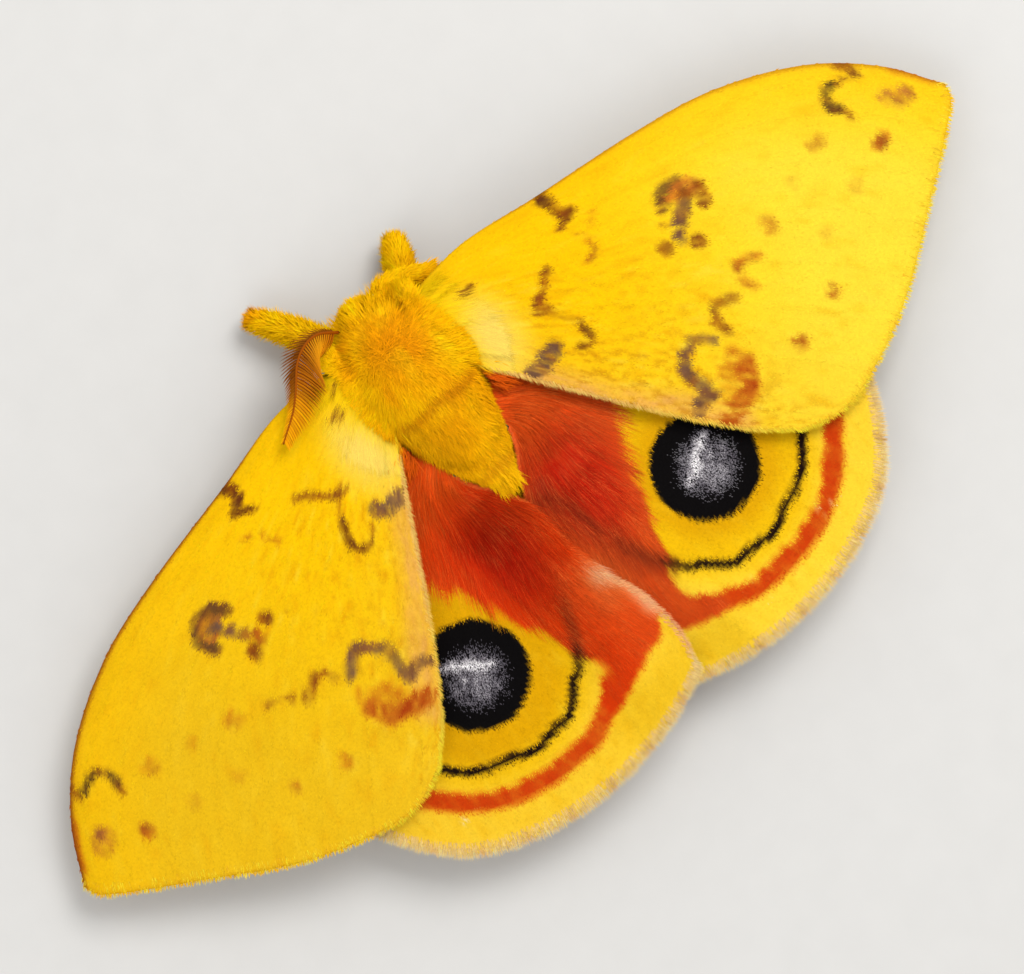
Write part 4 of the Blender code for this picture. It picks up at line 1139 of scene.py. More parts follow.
# %% [markdown]
# The fur of the body is ochre, more orange in the middle of the front, brighter behind, and
# darker along the step where the fur of the front part hangs over the back part: painted shade
# under that overhang. The colour depends only on the place, so skin and fur share it.

# %% Body colours
def body_colours(points):
    x, y, z = np.moveaxis(np.asarray(points, float), -1, 0)
    patches = 0.7 * CLOUD_A.at(points, 1.3) + 0.5 * CLOUD_B.at(points * (1.0, 0.5, 1.0), 0.6)
    fine = CLOUD_B.at(points, 0.5)
    colours = plain((252, 184, 0), len(x))
    colours = lay(colours, 0.85 * spot(x, y, (-0.5, -3.1), 1.9, 1.5, 1.1), (222, 136, 0))
    colours = lay(colours, 0.6 * ease(0.0, 0.8, patches), (228, 144, 0))
    colours = lay(colours, 0.6 * ease(0.0, 0.8, -patches), (255, 204, 10))
    behind = ease(1.0, 1.7, y) * (1 - ease(5.4, 6.2, y))
    colours = lay(colours, 0.6 * behind, (232, 160, 0))
    # painted shade along the step, under the overhanging fur of the front part
    step = np.exp(-(((y - 1.0 - 0.35 * CLOUD_C.at(points, 1.5)) / 0.3) ** 2)) * ease(6.0, 7.2, z)
    colours = lay(colours, 0.7 * step, (186, 112, 0))
    abdomen = ease(5.4, 6.0, y) * ease(-2.9, -2.2, -np.abs(x))
    bands = ease(0.55, 0.95, np.cos((y - 6.2) * 2 * math.pi / 2.1) * 0.5 + 0.5)
    colours = lay(colours, abdomen * 0.6, (240, 176, 6))
    colours = lay(colours, abdomen * bands * 0.45, (206, 130, 6))
    colours = lay(colours, ease(-5.9, -7.0, y) * 0.95, (255, 190, 0))
    colours = lay(colours, ease(-9.6, -10.6, y) * 0.7, (244, 142, 0))
    low_leg = (1 - ease(0.4, 1.1, z)) * 0.5
    colours = lay(colours, low_leg, (224, 154, 14))
    return np.clip(colours * (1 + 0.04 * fine[:, None]), 0, 255)


# %% Body skin
def closed_tube(name, body, grow, rings, sides, pad):
    """A tube from a grid, rounded shut at both ends, its seam and its poles merged."""

    def where(u, v):
        end = np.clip(1 - np.abs(2 * u - 1) ** 6, 0, 1) ** 0.5
        share = blend(-pad, 1 + pad, u)
        middle, _, across, up, wide, high = body.frame(share)
        w = (wide + grow) * end * np.sin(2 * np.pi * v)
        h = (high + grow) * end * np.cos(2 * np.pi * v)
        return middle + across * w[..., None] + up * h[..., None]

    made, _ = from_grid(name, rings, sides, where)
    bpy.ops.object.mode_set(mode="EDIT")
    bpy.ops.mesh.select_all(action="SELECT")
    bpy.ops.mesh.remove_doubles(threshold=0.004 * MM)
    bpy.ops.mesh.normals_make_consistent(inside=False)
    bpy.ops.object.mode_set(mode="OBJECT")
    return made


FLOOR_GAP = 0.02
tubes = [
    closed_tube("body_skin", THORAX, -THORAX_COAT, 40, 48, 0.12),
    closed_tube("tube_abdomen", ABDOMEN, -ABDOMEN_COAT, 60, 40, 0.02),
    closed_tube("tube_head", HEAD, -HEAD_COAT, 24, 36, 0.12),
]
for name, route in LEGS.items():
    tubes.append(closed_tube("tube_" + name, route, 0.0, 80, 16, 0.01))
for name, route in LOBES.items():
    tubes.append(closed_tube("tube_lobe_" + name, route, 0.0, 24, 20, 0.04))
select_only(*tubes)
bpy.ops.object.join()
skin = bpy.context.active_object
bpy.ops.object.modifier_add(type="REMESH")
skin.modifiers[-1].mode = "VOXEL"
skin.modifiers[-1].voxel_size = 0.13 * MM
bpy.ops.object.modifier_apply(modifier=skin.modifiers[-1].name)
bpy.ops.object.modifier_add(type="SMOOTH")
skin.modifiers[-1].factor, skin.modifiers[-1].iterations = 0.5, 5
bpy.ops.object.modifier_apply(modifier=skin.modifiers[-1].name)
bpy.ops.object.shade_smooth()
places = np.empty(len(skin.data.vertices) * 3)
skin.data.vertices.foreach_get("co", places)
places[2::3] = np.maximum(places[2::3], FLOOR_GAP * MM)  # flat soles on the floor
skin.data.vertices.foreach_set("co", places)
skin.data.update()
skin_colours = body_colours(places.reshape(-1, 3) / MM + MIDDLE)
tint(skin.data, blend(skin_colours, np.array([236.0, 154.0, 0.0]), 0.5))
keep(skin, "body_coat", "skin", "head", "thorax", "abdomen", *LEG_JOINTS)
print("skin:", len(skin.data.polygons), "faces")

# %% [markdown]
# ## Fur
# Fur grows where a share along a round route and an angle round it say. Its way is a raw wish,
# such as backwards and a little outwards, laid flat on the skin there, with some swirl so that it
# clumps. Hairs of the breast that would reach through a wing are held under it.

# %% Fur helpers
def under_wings(points):
    """Holds points below the forewing's sheet where they reach it."""
    x = np.abs(points[..., 0])
    near = ease(2.9, 3.6, x) * (points[..., 1] > -5.2) * (points[..., 1] < 2.5 + (x - 2.6))
    points = points.copy()
    held = np.minimum(points[..., 2], sheet_height(x) - 0.45)
    points[..., 2] = np.maximum(blend(points[..., 2], held, near), 0.07)
    return points


def fur(
    name, body, seed, count, grow, wish, length, width, bow,
    rings=2, shares=(0.0, 1.0), bake_box=(0, 0, 1, 1), bare=0.0,
):
    """wish(points, share) gives the raw way, length(share) the length. The top is bare up to an angle."""
    rng = np.random.default_rng(seed)
    share = rng.uniform(*shares, count)
    around = rng.uniform(-1, 1, count)
    angle = np.sign(around) * blend(bare, np.pi, np.abs(around))
    _, _, _, _, wide, high = body.frame(share)
    thin = rng.random(count) < (wide + high) / np.max(wide + high)
    share, angle, around = share[thin], angle[thin], around[thin]
    off = body.off(share, angle)
    roots = body.point(share, angle, grow) - off * 0.06
    raw = wish(roots, share)
    raw = raw + 0.22 * np.stack([cloud.at(roots, 0.9) for cloud in (CLOUD_A, CLOUD_B, CLOUD_C)], -1)
    raw = raw + 0.12 * rng.standard_normal(raw.shape)
    way = unit(raw - off * np.sum(raw * off, -1, keepdims=True) * 0.9)
    reach = length(share) * rng.uniform(0.65, 1.12, len(share))
    arch = bow * rng.uniform(0.5, 1.5, len(share))
    paths = hair_paths(roots, way, off, reach, arch, rng.normal(0, 0.12, len(share)), rings)
    paths = under_wings(paths)
    colours = varied(body_colours(roots + way * reach[:, None] * 0.5), rng, 0.06)
    u0, v0, u1, v1 = bake_box
    low, high = shares
    bake = bake_place(blend(u0, u1, (around + 1) / 2), blend(v0, v1, (share - low) / (high - low)))
    width = width * rng.uniform(0.75, 1.3, len(share))
    return hair_coat(name, paths, off, width, colours, bake, 1.08)


# %% [markdown]
# The back of the moth is one soft cushion of hair that runs over the roots of the wings, so that
# no edge of a wing shows there. Its hairs follow the height of whatever lies below them: the
# thorax, the head or a wing. They part at the front and sweep forward, outward and back.

# %% Height of the back
def top_of(body, x, y, grow):
    """Height of a round body's top at a place seen from above."""
    stations = body.line.points
    held = np.clip(y, stations[0, 1], stations[-1, 1])
    z, wide, high = (np.interp(held, stations[:, 1], stations[:, k]) for k in (2, 3, 4))
    rounding = (x / (wide + grow)) ** 2 + ((y - held) / 0.9) ** 2
    return z + (high + grow) * np.sqrt(np.clip(1 - rounding, 0, 1))


INNER_EDGE = (  # places along the back, and the hindwing's inner edge there
    (3.2, 4.4, 5.2, 6.3, 7.6, 9.2),
    (1.2, 2.1, 2.15, 1.7, 0.75, -0.05),
)
HIND_HEIGHTS = {side: hind_height(side) for side in (LEFT, RIGHT)}


def back_height(x, y):
    a = np.abs(x)
    height = np.maximum(top_of(THORAX, x, y, -THORAX_COAT), top_of(HEAD, x, y, -HEAD_COAT))
    height = np.maximum(height, top_of(ABDOMEN, x, y, -ABDOMEN_COAT) * (y > 4.2))
    hind = np.where(x > 0, HIND_HEIGHTS[LEFT](a, y, 0, 0), HIND_HEIGHTS[RIGHT](a, y, 0, 0)) + 0.12
    hind = hind - 0.3 * np.clip(np.interp(y, *INNER_EDGE) - a, 0, 1)
    height = np.maximum(height, blend(height, hind, ease(2.8, 3.8, y)))
    on_fore = ease(1.9, 2.7, a) * ease(-5.9, -4.9, y) * (1 - ease(-0.2, 0.5, y + 0.1 - (a - 2.6) * 1.5))
    height = blend(height, np.maximum(height, sheet_height(a) + 0.2), on_fore)
    over_feeler = stroke(x, y, ((-1.0, -6.1), (-2.4, -6.2), (-3.3, -5.9)), 0.4, 0.2)
    return blend(height, np.maximum(height, 5.65), over_feeler)


def draped(roots, way, length, arch, swing, rise, rings):
    """Paths of hairs that follow the height of the back, and rise off it a little to their tips."""
    u = np.linspace(0, 1, rings + 1)
    side = np.stack([-way[:, 1], way[:, 0]], -1)
    flat = roots[:, None] + length[:, None, None] * (
        way[:, None] * u[:, None] + side[:, None] * swing[:, None, None] * u[:, None] ** 2
    )
    z = back_height(flat[..., 0], flat[..., 1])
    z = z + length[:, None] * arch[:, None] * (2.2 * u - 1.7 * u * u) + rise[:, None] * u - 0.06
    step = length / rings
    for k in range(1, rings + 1):
        z[:, k] = np.maximum(z[:, k], z[:, k - 1] - 0.75 * step)
    return np.concatenate([flat, z[..., None]], -1)


def off_back(x, y, e=0.3):
    slope_x = (back_height(x + e, y) - back_height(x - e, y)) / (2 * e)
    slope_y = (back_height(x, y + e) - back_height(x, y - e)) / (2 * e)
    return unit(np.stack([-np.clip(slope_x, -1.2, 1.2), -np.clip(slope_y, -1.2, 1.2), np.ones(len(x))], -1))


# %% Fur of the back
BACK_FRONT, BACK_REAR, BACK_HALF, BACK_MAP_LENGTH = -5.8, 7.1, 4, 12.4
BACK_EDGE = (  # places along the back, and half the width that hair grows on there
    (BACK_FRONT, -5.2, -4.3, -3.2, -1.6, 0.2, 1.4, 2.7, 4.0, 5.0, 6.6, BACK_REAR),
    (2.2, 2.9, 3.1, 3.5, 3.9, 3.5, 3.0, 2.55, 2.2, 1.9, 1.1, 0.7),
)
BACK_END = (  # places along the back, and half the width that the tips reach there
    (-6.5, -5.5, -4.5, -3.2, -0.8, 0.4, 1.5, 2.2, 4.0, 5.0, 5.7, 7.3),
    (2.6, 3.0, 3.5, 3.85, 4.1, 3.95, 3.75, 3.45, 2.55, 2.05, 1.7, 0.8),
)
PARTING = (0.2, -3.2)


def back_fur(name, seed, count, reach, width, rings, rise):
    rng = np.random.default_rng(seed)
    y = rng.uniform(BACK_FRONT, BACK_REAR, count * 2)
    x = rng.uniform(-BACK_HALF, BACK_HALF, count * 2)
    inside = np.abs(x) < np.interp(y, *BACK_EDGE)
    x, y = x[inside][:count], y[inside][:count]
    from_parting = away(x, y, PARTING)
    way = np.stack([(x - PARTING[0]) * 0.55, y - PARTING[1]], -1)
    way = way / np.maximum(from_parting, 0.4)[:, None]
    side = (ease(1.8, 3.6, np.abs(x)) * (1 - 0.8 * ease(0.0, 2.5, y)))[:, None]
    way = way + side * np.stack([np.sign(x) * 0.85, 0.1 + 0 * x], -1)
    swirl = np.stack([CLOUD_A.at(np.stack([x, y], -1), 1.1), CLOUD_B.at(np.stack([x, y], -1), 1.1)], -1)
    ruffled = (0.12 + 0.5 * np.exp(-((from_parting / 1.5) ** 2)))[:, None]
    way = unit(way + 0.3 * swirl + ruffled * rng.standard_normal(way.shape))
    long = blend(0.55, 1.0, ease(0.4, 2.4, from_parting)) * blend(1.0, 1.15, ease(1.0, 3.0, y))
    long = long * blend(1.0, 1.12, ease(-4.0, -5.0, y))
    length = reach * long * rng.uniform(0.65, 1.12, len(x))
    for _ in range(4):
        tip_x, tip_y = x + way[:, 0] * length, y + way[:, 1] * length
        loose = rng.normal(0, 1, len(x)) * blend(0.25, 0.15, ease(0.5, 2.0, tip_y))
        loose = loose + np.where(tip_x < 0, 0.35 * (1 - ease(0.0, 1.5, tip_y)), 0.12 * ease(1.5, 3.0, tip_y))
        over = np.abs(tip_x) > np.interp(tip_y, *BACK_END) + loose
        length = np.where(over, length * 0.72, length)
    arch = rng.uniform(0.06, 0.2, len(x)) + 0.25 * np.exp(-((from_parting / 1.3) ** 2))
    tips = rise * rng.uniform(0.2, 1.4, len(x))
    paths = draped(np.stack([x, y], -1), way, length, arch, rng.normal(0, 0.14, len(x)), tips, rings)
    colours = varied(body_colours(paths[:, 1]), rng, 0.05)
    wide = np.interp(y, *BACK_EDGE)
    bake = bake_place(0.5 + np.arcsin(np.clip(x / wide, -1, 1)) / np.pi, (y - BACK_FRONT) / BACK_MAP_LENGTH)
    width = width * rng.uniform(0.75, 1.3, len(x))
    return hair_coat(name, paths, off_back(x, y), width, colours, bake, 1.06)


# %% Fur of the corners
def corner_fur(name, seed, count, side):
    """Hair in the corner between back, forewing and hindwing, and over the shoulder in front."""
    rng = np.random.default_rng(seed)
    a, y = rng.uniform(3.2, 4.5, count), rng.uniform(0.9, 2.7, count)
    deep = rng.uniform(0.12, 1.2, count)
    roots = np.stack([side * a, y, sheet_height(a) - deep], -1)
    way = unit(np.array([0.55 * side, 0.8, -0.1]) + 0.2 * rng.standard_normal(roots.shape))
    ups = np.tile(np.array([0.0, 0.0, 1.0]), (count, 1))
    rear = hair_paths(roots, way, ups, rng.uniform(0.7, 1.3, count), 0.08, rng.normal(0, 0.1, count), 2)
    flat = np.stack([side * rng.uniform(1.9, 3.3, count), rng.uniform(-5.5, -4.2, count)], -1)
    way = unit(np.array([0.6 * side, -0.7]) + 0.25 * rng.standard_normal(flat.shape))
    length = rng.uniform(0.6, 1.1, count)
    arch, swing = rng.uniform(0.05, 0.2, count), rng.normal(0, 0.14, count)
    front = draped(flat, way, length, arch, swing, np.full(count, 0.25), 2)
    paths = np.concatenate([rear, front])
    colours = body_colours(paths[:, 1])
    colours[:count] = lay(colours[:count], 0.9 * ease(1.1, 2.0, y), (206, 74, 8))
    front_bake = bake_place(0.5 + flat[:, 0] / 9, (flat[:, 1] + 6) / 5)
    bake = np.concatenate([bake_place(a / 9, y / 4 + 0.2), front_bake])
    ups = np.concatenate([ups, off_back(*flat.T)])
    return hair_coat(name, paths, ups, 0.065, varied(colours, rng, 0.05), bake, 1.06)


for side, side_name in SIDE_NAMES.items():
    keep(corner_fur("corner_fur_" + side_name, 120 + side, 900, side), "body_coat", "fur")
keep(back_fur("thorax_fur", 81, 16800, 1.35, 0.06, 2, 0.15), "body_coat", "fur")
keep(back_fur("thorax_top_fur", 82, 10500, 1.15, 0.045, 2, 0.32), "body_coat", "fur")


# %% [markdown]
# The breast, the head and the abdomen are furred by rules of their own: down and back under the
# thorax, forward over the head, and straight back over the abdomen.

# %% Fur of breast, head and abdomen
def breast_way(roots, share):
    return np.array([0.0, 0.9, -0.5]) + 0 * roots


def head_way(roots, share):
    return np.stack([0.45 * roots[:, 0], -1 + 0 * share, -0.1 + 0 * share], -1)


def abdomen_way(roots, share):
    return np.stack([0.1 * roots[:, 0], 1 + 0 * share, 0 * share], -1)


made = fur(
    "breast_fur", THORAX, 83, 3600, -THORAX_COAT, breast_way, lambda share: 1.0 + 0 * share, 0.09, 0.14,
    shares=(-0.06, 1.06), bare=math.radians(55),
)
keep(made, "body_coat", "fur")
made = fur(
    "head_fur", HEAD, 84, 3800, -HEAD_COAT, head_way, lambda share: blend(0.75, 1.15, share), 0.065, 0.22,
    shares=(-0.12, 1.1),
)
keep(made, "body_coat", "fur")
made = fur(
    "abdomen_fur", ABDOMEN, 85, 4900, -ABDOMEN_COAT, abdomen_way,
    lambda share: blend(1.0, 1.35, ease(0.85, 1, share)), 0.085, 0.1,
)
keep(made, "body_coat", "fur")


# %% Fur of the face
FACE_MIDDLE, FACE_STRETCH = np.array([0.0, -5.95, 4.15]), (1.0, 0.85, 1.15)


def face_fur(name, seed, count):
    """Short hair that hangs over the front of the head, between the eyes and below them."""
    rng = np.random.default_rng(seed)
    tilt = np.arccos(rng.uniform(-0.35, 1.0, count))
    around = rng.uniform(-np.pi, np.pi, count)
    off = np.stack([np.sin(tilt) * np.cos(around), -np.cos(tilt), np.sin(tilt) * np.sin(around)], -1)
    roots = FACE_MIDDLE + off * FACE_STRETCH
    way = unit(np.array([0.0, -0.35, -1.0]) + 0.75 * off + 0.25 * rng.standard_normal(off.shape))
    length, swing = 0.7 * rng.uniform(0.6, 1.1, count), rng.normal(0, 0.15, count)
    paths = hair_paths(roots, way, off, length, 0.1, swing, 2)
    colours = varied(body_colours(roots), rng, 0.06)
    bake = bake_place(around / (2 * np.pi) + 0.5, 0.3 * tilt / np.pi)
    return hair_coat(name, paths, off, 0.06, colours, bake, 1.06)


keep(face_fur("face_fur", 116, 1100), "body_coat", "fur")


# %% [markdown]
# Long pale hair lies over the root of each forewing, where it joins the body, and softens the
# step from fur to scales.

# %% Pale tufts at the wing roots
ROOT_LOOP = {
    LEFT: ((4.4, -2.5), (4.9, -2.35), (5.3, -2.55), (4.9, -2.8), (4.5, -2.8)),
    RIGHT: ((5.3, -2.8), (5.8, -2.6)),
}
ROOT_DOT = ((3.95, -3.9), (4.0, -3.8))


def root_tufts(side, seed, count):
    sheet = SHEETS["forewing_" + SIDE_NAMES[side]]
    rng = np.random.default_rng(seed)
    across, out = sheet.scatter(count, rng, (0.02, 0.012), (0.985, 0.14))
    x, y = sheet.flat(across, out)
    shown = rng.random(len(x)) < 1 - ease(4.8, 6.6, x + 0.25 * np.abs(y - 0.5))
    across, out, x, y = across[shown], out[shown], x[shown], y[shown]
    outward, sideways, off = sheet.ways(across, out)
    ways = unit(outward + sideways * (0.25 + 0.3 * CLOUD_A.at(np.stack([x, y], -1), 1.0)[:, None]))
    length = rng.uniform(0.6, 1.2, len(x))
    bow, swing = rng.uniform(0.02, 0.07, len(x)), rng.normal(0, 0.12, len(x))
    paths = hair_paths(sheet.at(across, out), ways, off, length, bow, swing, 1)
    cream = spot(x, y, (5.3, 0.6), 1.8, 1.2, 1.6)
    colours = lay(plain((255, 200, 6), len(x)), cream * 0.9, (255, 216, 104))
    colours = lay(colours, spot(x, y, (5.9, 3.7), 0.7, 0.4) * 0.7, (160, 122, 96))
    colours = lay(colours, stroke(x + 0.3, y, ROOT_LOOP[side], 0.13, 0.1) * 0.85, (118, 68, 24))
    if side == LEFT:
        colours = lay(colours, stroke(x + 0.3, y, ROOT_DOT, 0.14, 0.1) * 0.8, (120, 74, 20))
    colours = varied(colours, rng, 0.04)
    bake = bake_place(across, out)
    return hair_coat("forewing_" + SIDE_NAMES[side] + "_root_tufts", paths, off, 0.05, colours, bake, 1.04)


for side in (LEFT, RIGHT):
    keep(root_tufts(side, 87 + side, 8000), "wing_yellow", "fringe")


# %% Fur of the legs
def leg_reach(share):
    return blend(0.8, 0.34, ease(0.5, 0.85, share))


for number, (name, route) in enumerate(LEGS.items()):
    box = (number / 6 + 0.01, 0.0, (number + 0.9) / 6, 0.6)
    made = fur(
        name + "_fur", route, 90 + number, 2000, 0.0, lambda roots, share, route=route: route.frame(share)[1],
        leg_reach, 0.07, 0.7, rings=1, shares=(0.03, 0.995), bake_box=box,
    )
    keep(made, "leg_coat", "fur")


# %% [markdown]
# The forelegs stretch out ahead of the head in thick brushes with round ends. Hair stands half
# out all round them, and at the end it turns forward and closes the brush.

# %% Brushes of the forelegs
def brush(name, route, seed, count):
    rng = np.random.default_rng(seed)
    share = rng.uniform(-0.02, 1.12, count)
    angle = rng.uniform(-np.pi, np.pi, count)
    end = ease(0.88, 1.1, share)
    share = np.minimum(share, 1.0)
    ahead, wide = route.frame(share)[1], route.frame(share)[4]
    off = route.off(share, angle)
    roots = route.point(share, angle, -0.06 - (wide - 0.06) * end * rng.random(count) ** 0.7)
    way = unit(ahead * blend(0.85, 1.2, end)[:, None] + off * blend(0.62, 0.5, end)[:, None]
        + 0.2 * rng.standard_normal(off.shape))
    length = blend(0.86, 1.0, end) * rng.uniform(0.8, 1.08, count)
    paths = hair_paths(roots, way, off, length, rng.normal(0.0, 0.06, count), rng.normal(0, 0.14, count), 2)
    paths[..., 2] = np.maximum(paths[..., 2], 0.03)
    colours = varied(body_colours(roots + way * 0.2), rng, 0.06)
    bake = bake_place(angle / (2 * np.pi) + 0.5, share)
    return hair_coat(name + "_lobe_fur", paths, unit(off + ahead * end[:, None]), 0.065, colours, bake, 1.05)


for number, (name, route) in enumerate(LOBES.items()):
    keep(brush(name, route, 97 + number, 4000), "leg_coat", "fur")

# %% [markdown]
# ## Eyes, feelers and claws
# The eyes are dark balls with fine facets, half sunk in the fur. A male's feelers are broad
# combs: each joint of the shaft carries two pairs of thin curved rays, which grow shorter to
# the tip. The claws are small hooks under each foot.

# %% Eyes
EYE_RADIUS, EYE_PLACE = 0.85, (1.6, -5.45, 4.1)
for side, side_name in SIDE_NAMES.items():
    bpy.ops.object.select_all(action="DESELECT")
    place = in_frame((side * EYE_PLACE[0], *EYE_PLACE[1:]))
    bpy.ops.mesh.primitive_uv_sphere_add(segments=48, ring_count=32, radius=EYE_RADIUS * MM, location=place)
    ball = bpy.context.active_object
    ball.name = "eye_" + side_name + "_ball"
    ball.scale = (0.94, 1.0, 1.0)
    bpy.ops.object.transform_apply(location=True, rotation=True, scale=True)
    bpy.ops.object.shade_smooth()
    keep(ball, "eye", "eye", "eye_" + side_name)
print("eyes:", len(SIDE_NAMES))

# %% Feelers
ANTENNAE = {
    LEFT: Line(
        (
            (1.5, -6.05, 5.4), (2.4, -6.7, 6.5), (3.1, -6.8, 7.0), (3.9, -6.6, 7.3), (4.65, -6.15, 7.45),
            (5.3, -5.5, 7.5), (5.85, -4.95, 7.5), (6.7, -4.25, 7.45), (7.8, -3.6, 7.4), (8.4, -3.25, 7.35),
        )
    ),
    RIGHT: Line(
        (
            (-1.45, -6.05, 5.4), (-2.4, -6.25, 5.35), (-3.6, -5.8, 4.9), (-5.2, -4.95, 4.45),
            (-7.0, -4.0, 4.15), (-8.8, -3.0, 3.95),
        )
    ),
}
SHAFT_STATIONS, SHAFT_SIDES = 40, 8
SHAFT_CORNERS = SHAFT_STATIONS * SHAFT_SIDES
RAY_PITCH, RAY_LENGTH, RAY_WIDTH = 0.185, 1.35, 0.105
UPRIGHT = np.array([0.0, 0.0, 1.0])


def feeler_shaft(line):
    """Corners and triangles of a thin round rod along a line, closed at both ends."""
    at = np.linspace(0, 1, SHAFT_STATIONS)
    ahead = line.along(at)
    beside = unit(np.cross(UPRIGHT, ahead))
    up = np.cross(ahead, beside)
    radius = blend(0.1, 0.05, at)
    turn = np.linspace(0, 2 * np.pi, SHAFT_SIDES + 1)[:-1]
    rings = (
        line.point(at)[:, None]
        + beside[:, None] * (radius[:, None] * np.cos(turn))[..., None]
        + up[:, None] * (radius[:, None] * np.sin(turn))[..., None]
    )
    points = np.concatenate([rings.reshape(-1, 3), line.point(at[[0, -1]])])
    root, tip, last_ring = SHAFT_CORNERS, SHAFT_CORNERS + 1, SHAFT_CORNERS - SHAFT_SIDES
    faces = []
    for k in range(SHAFT_SIDES):
        following = (k + 1) % SHAFT_SIDES
        faces += [(root, following, k), (tip, last_ring + k, last_ring + following)]
        for start in range(0, last_ring, SHAFT_SIDES):
            a, b = start + k, start + following
            faces += [(a, b, b + SHAFT_SIDES), (a, b + SHAFT_SIDES, a + SHAFT_SIDES)]
    return points, np.array(faces)


# %% Rays of the feelers
RAY_TAPER = ((0.04, 0.14, 0.3, 0.5, 0.7, 0.85, 1.0), (0.6, 1.0, 1.1, 0.92, 0.64, 0.44, 0.25))


def feeler_rays(line, rng, fans):
    """Paths of all rays: two pairs at each joint. Each fan has a hand, a tilt, a spread and a length."""
    joints = np.arange(0.04, 0.985, RAY_PITCH / line.length)
    rows = []
    for number, fan in enumerate(fans):
        at = joints + 0.5 * (number % 2) * RAY_PITCH / line.length + rng.normal(0, 0.001, len(joints))
        rows.append(np.stack([at, *(np.full(len(at), value) for value in fan)], -1))
    at, hand, tilt, spread, long = np.concatenate(rows).T
    ahead = line.along(at)
    beside = unit(np.cross(UPRIGHT, ahead)) * hand[:, None]
    up = np.cross(ahead, beside) * hand[:, None]
    length = long * RAY_LENGTH * np.interp(at, *RAY_TAPER)
    length = length * blend(1.0, blend(0.4, 1.0, ease(0.12, 0.36, at)), hand < 0)
    length = length * rng.uniform(0.94, 1.05, len(at))
    spread = spread * np.interp(at, [0.0, 0.5, 0.9], [1.25, 1.0, 0.6])
    onward = blend(0.42, 0.6, ease(0.3, 0.7, at))
    way = unit(beside * spread[:, None] + ahead * onward[:, None] + up * tilt[:, None])
    u = np.linspace(0, 1, 5)[None, :, None]
    reach = length[:, None, None]
    paths = line.point(at)[:, None] + way[:, None] * reach * u + ahead[:, None] * reach * 0.28 * u * u
    paths = paths - up[:, None] * reach * 0.14 * u * u
    return at, up, paths


FANS = {  # hand, tilt, spread, length
    LEFT: ((1, 0.1, 1.4, 1.62), (1, -0.08, 1.4, 1.62), (-1, -0.6, 0.8, 0.95), (-1, -0.9, 0.8, 0.95)),
    RIGHT: ((1, -0.5, 0.25, 1.0), (1, -0.9, 0.25, 1.0), (-1, -0.5, 0.25, 0.9), (-1, -0.9, 0.25, 0.9)),
}
RAY_STOPS = (0.04, 0.16, 0.28, 0.4, 0.56, 0.72, 1.0)
# Colours along a ray. The pale ones go to the upper ray of each pair as painted light, and the deep ones to the
# lower ray as painted shade.
LIT_RAY_COLOURS = np.array(
    ((190, 100, 0), (244, 164, 14), (226, 144, 8), (160, 88, 0), (190, 108, 0), (244, 164, 0), (250, 172, 0))
)
SHADED_RAY_COLOURS = np.array(
    ((120, 52, 0), (124, 54, 0), (110, 44, 0), (104, 40, 0), (140, 66, 0), (212, 122, 0), (226, 140, 0))
)


def along_stops(at, colours):
    return np.stack([np.interp(at, RAY_STOPS, colours[:, k]) for k in range(3)], -1)


for side, side_name in SIDE_NAMES.items():
    line, rng = ANTENNAE[side], np.random.default_rng(110 + side)
    name = "antenna_" + side_name
    shaft_points, shaft_faces = feeler_shaft(line)
    place = np.zeros((len(shaft_points), 2))
    place[:SHAFT_CORNERS, 0] = np.tile(np.arange(SHAFT_SIDES) / SHAFT_SIDES * 0.1, SHAFT_STATIONS)
    place[:SHAFT_CORNERS, 1] = np.repeat(np.linspace(0, 1, SHAFT_STATIONS), SHAFT_SIDES)
    colours = plain((150, 74, 0), len(shaft_points))
    keep(from_arrays(name + "_shaft", shaft_points, shaft_faces, colours, place), "antenna", "feeler", name)
    at, up, paths = feeler_rays(line, rng, FANS[side])
    # the lower ray of each pair gets painted shade, the upper one painted light
    shaded_fan = np.arange(len(at)) // (len(at) // 4) % 2
    colours = blend(along_stops(at, LIT_RAY_COLOURS), along_stops(at, SHADED_RAY_COLOURS), shaded_fan[:, None].astype(float))
    colours = varied(colours, rng, 0.05)
    front = (np.arange(len(at)) >= len(at) // 2) * (1 - ease(0.5, 0.8, at))
    colours = lay(colours, 0.6 * front * (side == LEFT), (104, 50, 0))
    bake = bake_place(0.1 + 0.8 * np.arange(len(at)) / len(at), at)
    keep(hair_coat(name + "_rays", paths, up, RAY_WIDTH, colours, bake, 1.1), "antenna", "feeler")


# %% Fur over the hidden feeler
def cheek_fur(name, line, seed, count):
    """Hair over the root of the feeler that lies tucked away before the wing."""
    rng = np.random.default_rng(seed)
    share = rng.uniform(0.02, 0.5, count)
    ahead = line.along(share)
    beside = unit(np.cross(UPRIGHT, ahead))
    off = rng.uniform(-1, 1, count)
    roots = line.point(share) + beside * (0.5 * off)[:, None] + UPRIGHT * (0.3 - 0.6 * off**2)[:, None]
    way = unit(ahead + beside * (0.3 * off)[:, None] + 0.2 * rng.standard_normal(ahead.shape))
    ups = unit(beside * off[:, None] + UPRIGHT)
    length, swing = 0.8 * rng.uniform(0.6, 1.1, count), rng.normal(0, 0.12, count)
    paths = hair_paths(roots, way, ups, length, 0.1, swing, 2)
    colours = varied(body_colours(roots), rng, 0.05)
    bake = bake_place(0.5 + 0.5 * off, share * 2)
    return hair_coat(name, paths, ups, 0.055, colours, bake, 1.06)


keep(cheek_fur("cheek_fur", ANTENNAE[RIGHT], 115, 1600), "body_coat", "fur")

